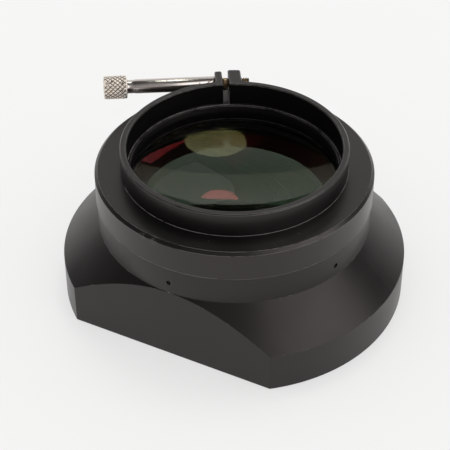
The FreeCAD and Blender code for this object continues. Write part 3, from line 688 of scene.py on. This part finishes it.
@dataclass
class RearDoublet:
    """The cemented pair of lenses that is seen through the clamp collar."""

    rear_curve: float = 280 * MM
    cemented_curve: float = 150 * MM
    crown_curve: float = 220 * MM
    flint_thickness: float = 3.5 * MM
    cement: float = 0.05 * MM
    upper_index: float = 1.70
    lower_index: float = 1.52
    matched_index: float = 1.0001
    rings: int = 40
    segments: int = 192

    def build(self, edge_paint: Material) -> list[Piece]:
        """Makes both lenses.

        Args:
            edge_paint: the black paint of the ground edges.

        Returns:
            The two pieces.
        """
        rear = GlassFinish("rear_lens_outer_glass", self.upper_index, Coating.GREEN.value).material()
        step = self.upper_index / self.lower_index
        cement = GlassFinish("rear_lens_cement", step, Coating.NONE.value).material()
        clear = GlassFinish("rear_lens_cement_far_side", self.matched_index, Coating.NONE.value).material()
        inner = GlassFinish("rear_lens_inner_glass", self.lower_index, Coating.OLIVE.value).material()
        vertex, radius = Ring.FLINT.high(), Ring.FLINT.reach()
        flint_foot = vertex - self.flint_thickness
        flint = (dome(vertex, self.rear_curve, radius, self.rings, bowl=False),
                 dome(flint_foot, self.cemented_curve + self.cement, radius, self.rings, bowl=False))
        crown = (dome(flint_foot - self.cement, self.cemented_curve, radius, self.rings, bowl=False),
                 dome(Ring.CROWN.low(), self.crown_curve, radius, self.rings, bowl=True))
        pieces = []
        for name, node, (top, foot), surfaces in (
            ("rear_outer_lens", "rear_flint_lens", flint, (rear, cement)),
            ("rear_inner_lens", "rear_crown_lens", crown, (clear, inner)),
        ):
            piece = new_object(name, partial(self.fill, top=top, foot=foot), (*surfaces, edge_paint))
            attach(piece, CONVERTER)
            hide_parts(node)
            pieces.append(piece)
        return pieces

    def fill(self, shape: Shape, top: Profile, foot: Profile) -> None:
        """Turns one lens. Its materials are the upper side, the lower side and the ground edge.

        Args:
            shape: the mesh that is filled.
            top: the upper side's profile.
            foot: the lower side's profile.
        """
        slots = [0] * self.rings + [2] + [1] * self.rings
        turn_profile(shape, top + foot[::-1], self.segments, slots)
        mark_sharp(shape)


@dataclass
class FrontGlass:
    """The large hollow-backed front lens with its two ground flats."""

    front_curve: float = 420 * MM
    inner_curve: float = 86 * MM
    thickness: float = 9.8 * MM
    margin: float = 2.5 * MM
    seat: float = 12.7 * MM
    seat_width: float = 4.3 * MM
    inner_reach: float = 47.7 * MM
    index: float = 1.52
    # Density of the painted shade inside the lens: near-black absorption that darkens what is seen through it.
    painted_shade_density: float = 110.0
    rings: int = 40
    segments: int = 192

    def build(self, edge_paint: Material) -> Piece:
        """Makes the lens.

        Args:
            edge_paint: the black paint of the ground edges.

        Returns:
            The piece.
        """
        outer, inner = [GlassFinish(name, self.index, coating.value, painted_shade_density=self.painted_shade_density).material()
                        for name, coating in (("front_lens_outer_glass", Coating.PALE),
                                              ("front_lens_inner_glass", Coating.MAGENTA))]
        piece = new_object("front_lens_glass", self.fill, (outer, inner, edge_paint))
        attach(piece, CONVERTER)
        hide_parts("front_lens")
        return piece

    def fill(self, shape: Shape) -> None:
        """Turns the lens and grinds its two flats.

        Args:
            shape: the mesh that is filled.
        """
        low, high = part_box("front_lens")
        radius = high.x
        front = dome(low.z, self.front_curve, radius - self.margin, self.rings, bowl=True)
        hollow = dome(low.z + self.thickness, self.inner_curve, self.inner_reach, self.rings, bowl=True)
        edge = [(radius, front[-1][1]), (radius, self.seat), (radius - self.seat_width, self.seat)]
        slots = [0] * self.rings + [2] * 4 + [1] * self.rings
        turn_profile(shape, front + edge + hollow[::-1], self.segments, slots)
        for side in (1, -1):
            geometry = shape.verts[:] + shape.edges[:] + shape.faces[:]
            cut = bmesh.ops.bisect_plane(shape, geom=geometry, plane_co=(0, side * high.y, 0),
                                         plane_no=(0, side, 0), clear_outer=True)
            rim = [item for item in cut["geom_cut"] if isinstance(item, bmesh.types.BMEdge)]
            flat = bmesh.ops.triangle_fill(shape, edges=rim, use_beauty=True, normal=(0, side, 0))
            for item in flat["geom"]:
                if isinstance(item, bmesh.types.BMFace):
                    item.material_index = 2
        mark_sharp(shape)


@dataclass
class ClampScrew:
    """The clamp's long thumbscrew: thread, shank, neck and diamond-knurled head with a driver slot."""

    thread_radius: float = 1.9 * MM
    thread_pitch: float = 1.0 * MM
    thread_depth: float = 0.45 * MM
    tip: float = -10.0 * MM
    shank_start: float = 4.5 * MM
    shank_radius: float = 3.0 * MM
    neck_start: float = 38.1 * MM
    neck_radius: float = 2.85 * MM
    head_start: float = 41.1 * MM
    head_end: float = 50.9 * MM
    head_radius: float = 4.9 * MM
    head_chamfer: float = 0.45 * MM
    knurl_starts: int = 16
    knurl_lead: float = 2.0 * MM
    knurl_depth: float = 0.36 * MM
    knurl_flat: float = 0.62
    groove_share: float = 0.6
    slot_width: float = 1.7 * MM
    slot_depth: float = 2.6 * MM
    slot_turn: float = math.radians(127)
    grease_width: float = 2.5 * MM
    grease_skin: float = 0.12 * MM
    grease_sag: float = 1.25 * MM
    lead_in: float = 0.6 * MM
    lead_in_drop: float = 0.35 * MM
    ease: float = 0.35 * MM
    thread_flat: float = 0.1
    thread_slope: float = 0.75
    thread_overlap: float = 0.2 * MM
    thread_crease: float = math.radians(50)
    shank_crease: float = math.radians(20)
    knurl_crease: float = math.radians(35)
    thread_steps: int = 10
    knurl_steps: int = 20
    grease_steps: int = 10
    thread_points: int = 40
    shank_points: int = 64
    head_points: int = 320
    grease_points: int = 36
    axis_point: Vector = field(default_factory=lambda: Vector(frame["joints"][0]["pos_m"]))
    axis: Vector = field(default_factory=lambda: Vector(frame["joints"][0]["axis"]).normalized())

    def spot(self, along: float, radius: float, turn: float) -> Vector:
        """A point round the screw's axis.

        Args:
            along: distance from the slot's middle towards the head.
            radius: distance from the axis.
            turn: angle from the outward direction towards the optical axis's direction.

        Returns:
            The point, in metres.
        """
        outward = Vector((self.axis_point.x, self.axis_point.y, 0)).normalized()
        upward = Vector((0, 0, 1))
        away = math.cos(turn) * outward + math.sin(turn) * upward
        return self.axis_point + self.axis * along + radius * away

    def rows(self, places: list[float], radius_at: Callable[[float, float], float],
             count: int) -> list[list[Vector]]:
        """Rings of points along the screw.

        Args:
            places: where each ring lies.
            radius_at: radius at a place and angle.
            count: points in a ring.

        Returns:
            The rings.
        """
        angles = [FULL_TURN * step / count for step in range(count)]
        return [[self.spot(along, radius_at(along, turn), turn) for turn in angles] for along in places]

    def thread_radius_at(self, along: float, turn: float) -> float:
        """Radius of the thread's helical groove.

        Args:
            along: distance from the slot's middle towards the head.
            turn: angle round the axis.

        Returns:
            The radius, in metres.
        """
        phase = (along / self.thread_pitch - turn / FULL_TURN) % 1.0
        height = min(1.0, max(0.0, (abs(2 * phase - 1) - self.thread_flat) / self.thread_slope))
        fade = min(1.0, (along - self.tip) / self.lead_in)
        return self.thread_radius - self.thread_depth * (1 - height) - self.lead_in_drop * (1 - fade)

    def grease_radius_at(self, along: float, turn: float) -> float:
        """Radius of the old grease between the ears, which hangs below the thread.

        Args:
            along: distance from the slot's middle towards the head.
            turn: angle round the axis.

        Returns:
            The radius, in metres.
        """
        end = math.sqrt(max(0.0, 1 - (2 * along / self.grease_width) ** 6))
        hanging = max(0.0, -math.sin(turn)) ** 1.5 * self.grease_sag * (1 + 0.2 * math.sin(5 * along / MM))
        return (self.thread_radius + (self.grease_skin + hanging)) * (0.55 + 0.45 * end)

    def head_radius_at(self, along: float, turn: float) -> float:
        """Radius of the knurled head.

        Args:
            along: distance from the slot's middle towards the head.
            turn: angle round the axis.

        Returns:
            The radius, in metres.
        """
        inside = min(along - self.head_start, self.head_end - along)
        edge = max(0.0, self.head_chamfer - inside)
        around = self.knurl_starts * turn / FULL_TURN
        lengthwise = along / self.knurl_lead
        ridges = [abs(2 * ((around + sign * lengthwise) % 1.0) - 1) for sign in (1, -1)]
        height = min(min(ridges), self.knurl_flat) / self.knurl_flat
        fade = min(1.0, inside / self.head_chamfer)
        return self.head_radius - edge - self.knurl_depth * (1 - height) * fade

    def build(self, plated: Material, polished: Material,
              greasy: Material) -> list[Piece]:
        """Makes the screw in three stretches, and the grease on it.

        Args:
            plated: finish of the knurled head.
            polished: finish of the shank.
            greasy: finish of the thread, the grease and the knurl's grooves.

        Returns:
            The pieces.
        """
        made = [new_object("thumbscrew_thread", self.fill_thread, (greasy,)),
                new_object("thumbscrew_shank", self.fill_shank, (polished,)),
                new_object("thumbscrew_head", self.fill_head, (plated, greasy)),
                new_object("thread_grease", self.fill_grease, (greasy,))]
        self.cut_driver_slot(made[2])
        for piece in made:
            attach(piece, THUMBSCREW)
            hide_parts("thumbscrew")
        return made

    def fill_thread(self, shape: Shape) -> None:
        """Makes the thread.

        Args:
            shape: the mesh that is filled.
        """
        step = self.thread_pitch / self.thread_steps
        end = self.shank_start + self.thread_overlap
        places = [self.tip + step * index for index in range(int((end - self.tip) / step) + 1)]
        grid_of_rows(shape, self.rows(places, self.thread_radius_at, self.thread_points))
        mark_sharp(shape, self.thread_crease)

    def fill_shank(self, shape: Shape) -> None:
        """Makes the plain shank and the neck under the head.

        Args:
            shape: the mesh that is filled.
        """
        ease = self.ease
        steps = [(self.shank_start, self.shank_radius - ease), (self.shank_start + ease, self.shank_radius),
                 (self.neck_start - ease, self.shank_radius), (self.neck_start, self.neck_radius),
                 (self.head_start - ease, self.neck_radius), (self.head_start + ease, self.neck_radius + ease)]
        rings = [self.rows([along], lambda _, __, size=size: size, self.shank_points)[0]
                 for along, size in steps]
        grid_of_rows(shape, rings)
        mark_sharp(shape, self.shank_crease)

    def fill_head(self, shape: Shape) -> None:
        """Makes the knurled head. The knurl's grooves take the second material.

        Args:
            shape: the mesh that is filled.
        """
        length = self.head_end - self.head_start
        count = int(length / (self.knurl_lead / self.knurl_steps)) + 1
        spacing = length / count
        places = [self.head_start + spacing * index for index in range(count + 1)]
        grid_of_rows(shape, self.rows(places, self.head_radius_at, self.head_points))
        deep = self.head_radius - self.groove_share * self.knurl_depth
        for face in shape.faces:
            spot = face.calc_center_median() - self.axis_point
            along = spot.dot(self.axis)
            inside = self.head_start + self.head_chamfer < along < self.head_end - self.head_chamfer
            if inside and (spot - along * self.axis).length < deep:
                face.material_index = 1
        mark_sharp(shape, self.knurl_crease)

    def fill_grease(self, shape: Shape) -> None:
        """Makes the grease between the ears.

        Args:
            shape: the mesh that is filled.
        """
        half, count = self.grease_width / 2, self.grease_steps
        places = [half * (2 * step / count - 1) for step in range(count + 1)]
        grid_of_rows(shape, self.rows(places, self.grease_radius_at, self.grease_points))

    def cut_driver_slot(self, head: Piece) -> None:
        """Cuts the driver slot across the head's end.

        Args:
            head: the head's object, changed in place.
        """
        carve(head, new_object("driver_slot_cutter", self.fill_cutter, ()))

    def fill_cutter(self, shape: Shape) -> None:
        """Makes the block that the driver slot is cut with.

        Args:
            shape: the mesh that is filled.
        """
        bmesh.ops.create_cube(shape, size=1.0)
        outward = Vector((self.axis_point.x, self.axis_point.y, 0)).normalized()
        along_slot = math.cos(self.slot_turn) * outward + math.sin(self.slot_turn) * Vector((0, 0, 1))
        across = along_slot.cross(self.axis)
        middle = self.spot(self.head_end, 0, 0)
        size = Matrix.Diagonal((3 * self.head_radius, self.slot_width, 2 * self.slot_depth, 1))
        turn = Matrix((along_slot, across, self.axis)).transposed().to_4x4()
        bmesh.ops.transform(shape, matrix=Matrix.Translation(middle) @ turn @ size, verts=shape.verts)


def carve(piece: Piece, cutter: Piece) -> None:
    """Cuts one mesh out of another and deletes the cutter.

    Args:
        piece: the object that is cut.
        cutter: the object that is taken away from it.
    """
    step = piece.modifiers.new("cut", "BOOLEAN")
    step.operation = "DIFFERENCE"
    step.solver = "EXACT"
    step.object = cutter
    graph = bpy.context.evaluated_depsgraph_get()
    mesh = bpy.data.meshes.new_from_object(piece.evaluated_get(graph))
    old = piece.data
    piece.modifiers.clear()
    piece.data = mesh
    bpy.data.meshes.remove(old)
    spare = cutter.data
    bpy.data.objects.remove(cutter)
    bpy.data.meshes.remove(spare)


@dataclass
class Housing:
    """The black metalwork: front housing, rear flange with its collar, bezel, ring and small screws."""

    effects: Effects

    def dress(self) -> None:
        """Gives every metal node its finish."""
        housing = AnodisedFinish("anodised_housing", (0.0060, 0.0058, 0.0056), 0.36, wear=0.45, dust=0.5,
                                 specular=0.48)
        knocks = (((-0.0061, -0.0550, 0.0556), 0.0030), ((-0.0113, -0.0542, 0.0553), 0.0022))
        flange = AnodisedFinish("anodised_flange", (0.0060, 0.0058, 0.0056), 0.32, turning_depth=0.0000012,
                                wear=0.6, dust=0.5, knocks=knocks)
        inside = AnodisedFinish("matt_black_inside", (0.004, 0.004, 0.004), 0.5, wear=0.25, dust=0.2,
                                specular=0.3)
        steel = AnodisedFinish("blackened_steel", (0.012, 0.012, 0.012), 0.35, wear=0.3)
        finish_node("front_housing", housing.material(self.effects))
        finish_node("rear_flange", flange.material(self.effects))
        dark = inside.material(self.effects)
        for node in ("front_bezel", "rear_retaining_ring"):
            finish_node(node, dark)
        small = steel.material(self.effects)
        for node in sorted(frame["nodes"]):
            if node.startswith(("grub_screw", "bezel_screw")):
                finish_node(node, small)


@dataclass
class CollarLining:
    """The matt bore of the split collar with its fine turned grooves, open at the collar's slot."""

    bore: float = 42.5 * MM
    skin: float = 0.12 * MM
    groove_depth: float = 0.06 * MM
    groove_pitch: float = 0.48 * MM
    groove_land: float = 0.02 * MM
    groove_crease: float = math.radians(6)
    foot_drop: float = 9.15 * MM
    mouth_drop: float = 0.42 * MM
    slot_half: float = 1.36 * MM
    lip_bore: float = 41.3 * MM
    lip_foot_drop: float = 16.1 * MM
    lip_mouth_drop: float = 10.45 * MM
    steps: int = 240

    def build(self, finish: Material) -> list[Piece]:
        """Makes the linings of the collar and of the lip below it.

        Args:
            finish: their material.

        Returns:
            The two pieces.
        """
        pieces = [new_object("collar_bore_lining", self.fill_bore, (finish,)),
                  new_object("lip_bore_lining", self.fill_lip, (finish,))]
        for piece in pieces:
            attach(piece, CONVERTER)
        return pieces

    def fill_bore(self, shape: Shape) -> None:
        """Makes the grooved lining of the collar.

        Args:
            shape: the mesh that is filled.
        """
        top = Ring.FLANGE.high()
        low, high = top - self.foot_drop, top - self.mouth_drop
        slot = Vector(frame["joints"][0]["pos_m"])
        middle = math.atan2(slot.y, slot.x)
        half = math.asin(self.slot_half / self.bore)
        count = int((high - low) / self.groove_pitch)
        section: Profile = [(self.bore + self.skin, high), (self.bore + self.skin, low)]
        for index in range(count):
            foot = low + (high - low) * index / count
            section.append((self.bore - self.skin, foot + self.groove_land))
            section.append((self.bore - self.skin + self.groove_depth, foot + 0.5 * (high - low) / count))
        section.append((self.bore - self.skin, high))
        rows = []
        for step in range(self.steps + 1):
            turn = middle + half + (FULL_TURN - 2 * half) * step / self.steps
            rows.append([Vector((radius * math.cos(turn), radius * math.sin(turn), height))
                         for radius, height in section])
        grid_of_rows(shape, rows)
        mark_sharp(shape, self.groove_crease)

    def fill_lip(self, shape: Shape) -> None:
        """Makes the lining of the lip.

        Args:
            shape: the mesh that is filled.
        """
        inner, outer = self.lip_bore - self.skin, self.lip_bore + self.skin
        top = Ring.FLANGE.high()
        low, high = top - self.lip_foot_drop, top - self.lip_mouth_drop
        turn_profile(shape, [(inner, low), (inner, high), (outer, high), (outer, low)], self.steps)
        mark_sharp(shape)


@dataclass
class SettledDust:
    """Flecks of dust and lint on the rear lens and on the ledge round the collar."""

    seed: int = 11
    lens_flecks: int = 30
    ledge_flecks: int = 26
    smallest: float = 0.035 * MM
    largest: float = 0.11 * MM
    lens_share: float = 0.93
    ledge: tuple[float, float] = (46 * MM, 53.8 * MM)
    ledge_drop: float = 10 * MM
    lift: float = 0.3
    stretch: tuple[float, float] = (1.0, 2.6)

    def build(self, finish: Material) -> Piece:
        """Makes all flecks as one piece.

        Args:
            finish: their material.

        Returns:
            The piece.
        """
        piece = new_object("settled_dust", self.fill, (finish,))
        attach(piece, CONVERTER)
        return piece

    def fill(self, shape: Shape) -> None:
        """Scatters the flecks.

        Args:
            shape: the mesh that is filled.
        """
        chance = random.Random(self.seed)
        curve = RearDoublet().rear_curve
        vertex, reach = Ring.FLINT.high(), self.lens_share * Ring.FLINT.reach()
        ledge = Ring.FLANGE.high() - self.ledge_drop
        for index in range(self.lens_flecks + self.ledge_flecks):
            turn = chance.uniform(0, FULL_TURN)
            size = chance.uniform(self.smallest, self.largest)
            if index < self.lens_flecks:
                radius = reach * math.sqrt(chance.random())
                height = vertex - sag(curve, radius) + self.lift * size
            else:
                radius, height = chance.uniform(*self.ledge), ledge + self.lift * size
            stretch = Matrix.Diagonal((chance.uniform(*self.stretch), 1.0, 0.5, 1.0))
            place = Matrix.Translation((radius * math.cos(turn), radius * math.sin(turn), height))
            spin = Matrix.Rotation(chance.uniform(0, FULL_TURN), 4, "Z")
            bmesh.ops.create_icosphere(shape, subdivisions=1, radius=size, matrix=place @ spin @ stretch)


@dataclass
class Studio:
    """The pale table, the soft lamps and the camera at the photograph's angle."""

    image_size: float = 450
    target_pixel: tuple[float, float] = (234.26, 226.68)
    target: Vector = field(default_factory=lambda: Vector((0, 0, 25 * MM)))
    azimuth: float = math.radians(26.8)
    elevation: float = math.radians(38.86)
    roll: float = math.radians(0.228)
    distance: float = 584.8 * MM
    focal_pixels: float = 1426.6
    sensor: float = 36.0
    floor_half: float = 3.0
    floor_height: float = -0.02 * MM
    floor_colour: Colour = (0.925, 0.925, 0.92)
    backdrop_share: float = 0.62
    wall_level: float = 0.76
    panel_level: float = 1.9
    shade_level: float = 0.10
    near_level: float = 0.34
    near_ceiling: float = 0.24
    ceiling_level: float = 0.03
    diffuse_level: float = 0.88
    shown_level: float = 0.92
    steep: tuple[float, float] = (0.95, 0.5)
    near_ceiling_bearing: tuple[float, float] = (-0.95, -0.75)
    near_wall_bearing: tuple[float, float] = (-0.95, -0.7)
    side_softness: float = 0.04
    top_softness: float = 0.03
    wall_width: tuple[float, float] = (-1.35, 1.6)
    wall_top: float = 1.035
    panel_turn: float = 132.0
    panel_width: tuple[float, float] = (-0.95, 0.45)
    panel_top: float = 1.27
    lamp_turn: float = 16.0
    lamp_lift: float = 67.0
    lamp_distance: float = 4.0
    lamp_width: float = 1.41
    lamp_radiance: float = 4.6
    lamp_colour: Colour = (0.93, 1.0, 0.90)

    def build(self) -> None:
        """Makes the camera, the table and the lamps."""
        self.place_camera()
        self.place_floor()
        self.light()
        self.hang_lamp()
        bpy.context.scene.view_settings.view_transform = "Standard"

    def place_camera(self) -> None:
        """Sets the camera where the photograph was taken from."""
        back = Vector((math.sin(self.azimuth) * math.cos(self.elevation),
                       -math.cos(self.azimuth) * math.cos(self.elevation), math.sin(self.elevation)))
        right = Vector((0, 0, 1)).cross(back).normalized()
        up = back.cross(right)
        rolled = math.cos(self.roll) * right + math.sin(self.roll) * up
        upright = -math.sin(self.roll) * right + math.cos(self.roll) * up
        data = bpy.data.cameras.new("camera")
        data.sensor_width = self.sensor
        data.lens = self.focal_pixels * self.sensor / self.image_size
        middle = self.image_size / 2
        data.shift_x = -(self.target_pixel[0] - middle) / self.image_size
        data.shift_y = (self.target_pixel[1] - middle) / self.image_size
        data.clip_start = 0.01
        data.clip_end = 100
        camera = bpy.data.objects.new("camera", data)
        turn = Matrix((rolled, upright, back)).transposed().to_4x4()
        camera.matrix_world = Matrix.Translation(self.target + back * self.distance) @ turn
        bpy.context.scene.collection.objects.link(camera)
        bpy.context.scene.camera = camera

    def place_floor(self) -> None:
        """Makes the pale table top that the lens stands on."""
        material, tree, shader = new_material("pale_table")
        path = tree.add("ShaderNodeLightPath")
        mirrored = tree.math("MAXIMUM", path.outputs["Is Glossy Ray"], path.outputs["Is Transmission Ray"])
        shown = tree.math("MAXIMUM", mirrored, path.outputs["Is Camera Ray"])
        shaded = tuple((1 - self.backdrop_share) * part for part in self.floor_colour)
        tree.feed(shader.inputs["Base Color"], tree.blend(shown, self.floor_colour, shaded))
        shader.inputs["Roughness"].default_value = 0.7
        shader.inputs["Specular IOR Level"].default_value = 0.0
        shader.inputs["Emission Color"].default_value = (*self.floor_colour, 1.0)
        tree.feed(shader.inputs["Emission Strength"], tree.math("MULTIPLY", shown, self.backdrop_share))
        floor = new_object("table_top", self.fill_table, (material,), smooth=False)
        floor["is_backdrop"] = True

    def fill_table(self, shape: Shape) -> None:
        """Makes the flat table top.

        Args:
            shape: the mesh that is filled.
        """
        half = self.floor_half
        corners = [(-half, -half), (half, -half), (half, half), (-half, half)]
        shape.faces.new([shape.verts.new((x, y, self.floor_height)) for x, y in corners])

    def light(self) -> None:
        """Sets the even light of the world, and what the metal and the glass mirror."""
        world = bpy.data.worlds.new("white_walls_dark_ceiling")
        bpy.context.scene.world = world
        world.use_nodes = True
        tree = NodeTree(world.node_tree)
        outward = tree.add("ShaderNodeTexCoord").outputs["Generated"]
        away, _ = self.level_directions()
        ahead = tree.add("ShaderNodeVectorMath", {"operation": "DOT_PRODUCT"}, in0=outward,
                         in1=away).outputs["Value"]
        height = tree.add("ShaderNodeSeparateXYZ", Vector=outward).outputs["Z"]
        level = tree.math("SQRT", tree.math("SUBTRACT", 1.0, tree.math("MULTIPLY", height, height)))
        bearing = tree.math("DIVIDE", ahead, tree.math("MAXIMUM", level, 0.0001))
        ceiling = tree.spread(bearing, *self.near_ceiling_bearing, self.near_ceiling, self.ceiling_level)
        walls = tree.spread(bearing, *self.near_wall_bearing, self.near_level, self.shade_level)
        room = tree.spread(height, *self.steep, ceiling, walls)
        wall = self.panel(tree, outward, 0.0, self.wall_width, self.wall_top)
        side = self.panel(tree, outward, self.panel_turn, self.panel_width, self.panel_top)
        behind = tree.spread(wall, 0.0, 1.0, room, self.wall_level)
        mirrored = tree.spread(side, 0.0, 1.0, behind, self.panel_level)
        path = tree.add("ShaderNodeLightPath")
        glossy = tree.math("MAXIMUM", path.outputs["Is Glossy Ray"], path.outputs["Is Transmission Ray"])
        strength = tree.spread(glossy, 0.0, 1.0, self.diffuse_level, mirrored)
        seen = tree.math("MULTIPLY", path.outputs["Is Camera Ray"], self.shown_level)
        shown = world.node_tree.nodes["Background"]
        shown.inputs["Color"].default_value = (1.0, 1.0, 0.995, 1.0)
        tree.feed(shown.inputs["Strength"], tree.math("MAXIMUM", strength, seen))

    def panel(self, tree: NodeTree, outward: Socket, aside: float, width: tuple[float, float],
              top: float) -> Socket:
        """Where a white wall stands that faces the lens.

        Args:
            tree: the world's tree.
            outward: the direction that is looked in.
            aside: degrees from the direction away from the camera to the wall, to the right.
            width: the wall's left and right ends over its distance.
            top: its height over its distance.

        Returns:
            The socket of its mask.
        """
        away, side = self.level_directions()
        turn = math.radians(aside)
        facing = math.cos(turn) * away + math.sin(turn) * side
        along = math.cos(turn) * side - math.sin(turn) * away
        near, across, height = [tree.add("ShaderNodeVectorMath", {"operation": "DOT_PRODUCT"}, in0=outward,
                                         in1=direction).outputs["Value"] for direction in
                                (facing, along, Vector((0, 0, 1)))]
        reach = tree.math("MAXIMUM", near, 0.0001)
        place, lift = tree.math("DIVIDE", across, reach), tree.math("DIVIDE", height, reach)
        soft = self.side_softness
        low = tree.spread(place, width[0] - soft, width[0] + soft, 0.0, 1.0)
        high = tree.spread(place, width[1] - soft, width[1] + soft, 1.0, 0.0)
        under = tree.spread(lift, top - self.top_softness, top + self.top_softness, 1.0, 0.0)
        return tree.math("MULTIPLY", tree.math("MULTIPLY", low, high), under)

    def level_directions(self) -> tuple[Vector, Vector]:
        """The level directions away from the camera and to its right."""
        away = Vector((-math.sin(self.azimuth), math.cos(self.azimuth), 0))
        return away, Vector((away.y, -away.x, 0))

    def hang_lamp(self) -> None:
        """Hangs the round ceiling lamp, which points at the lens."""
        away, side = self.level_directions()
        turn, rise = math.radians(self.lamp_turn), math.radians(self.lamp_lift)
        level = math.cos(turn) * away + math.sin(turn) * side
        place = self.target + self.lamp_distance * (math.cos(rise) * level + math.sin(rise) * Vector((0, 0, 1)))
        data = bpy.data.lights.new("round_ceiling_lamp", "AREA")
        data.shape = "DISK"
        data.size = self.lamp_width
        data.energy = self.lamp_radiance * math.pi * (math.pi * self.lamp_width * self.lamp_width / 4)
        data.color = self.lamp_colour
        made = bpy.data.objects.new("round_ceiling_lamp", data)
        made.location = place
        made.rotation_mode = "QUATERNION"
        made.rotation_quaternion = (place - self.target).to_track_quat("Z", "Y")
        bpy.context.scene.collection.objects.link(made)


def main() -> None:
    """Builds the studio and dresses the lens, piece by piece."""
    logging.basicConfig(level=logging.INFO, format="%(message)s")
    effects = Effects()
    Studio().build()
    Housing(effects).dress()
    paint = AnodisedFinish("lens_edge_paint", (0.006, 0.006, 0.006), 0.5, wear=0.0, dust=0.0).material(effects)
    RearDoublet().build(paint)
    FrontGlass().build(paint)
    bore = AnodisedFinish("collar_bore_black", (0.003, 0.003, 0.003), 0.55, wear=0.0, dust=0.3, specular=0.1)
    CollarLining().build(bore.material(effects))
    lint = AnodisedFinish("pale_dust", (0.35, 0.35, 0.33), 0.8, wear=0.0, dust=0.0, sheen=(1.0, 1.0, 1.0))
    SettledDust().build(lint.material(effects))
    screw = ClampScrew()
    axis = tuple(screw.axis)
    plated = PlatedFinish("plated_knurl", axis, (1.0, 0.92, 0.85), roughness=0.42, grime_level=0.03,
                          metal=0.45).material(effects)
    polished = PlatedFinish("plated_shank", axis, (0.70, 0.63, 0.60), grime_level=0.02, roughness=0.24,
                            turning_depth=0.00003).material(effects)
    greasy = PlatedFinish("greasy_thread", axis, (0.36, 0.25, 0.15), grime=(0.04, 0.024, 0.012), roughness=0.38,
                          grime_level=0.8).material(effects)
    screw.build(plated, polished, greasy)
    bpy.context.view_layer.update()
    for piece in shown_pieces():
        LOG.info("piece %s with %d faces", piece.name, len(piece.data.polygons))


if __name__ == "__main__":
    main()
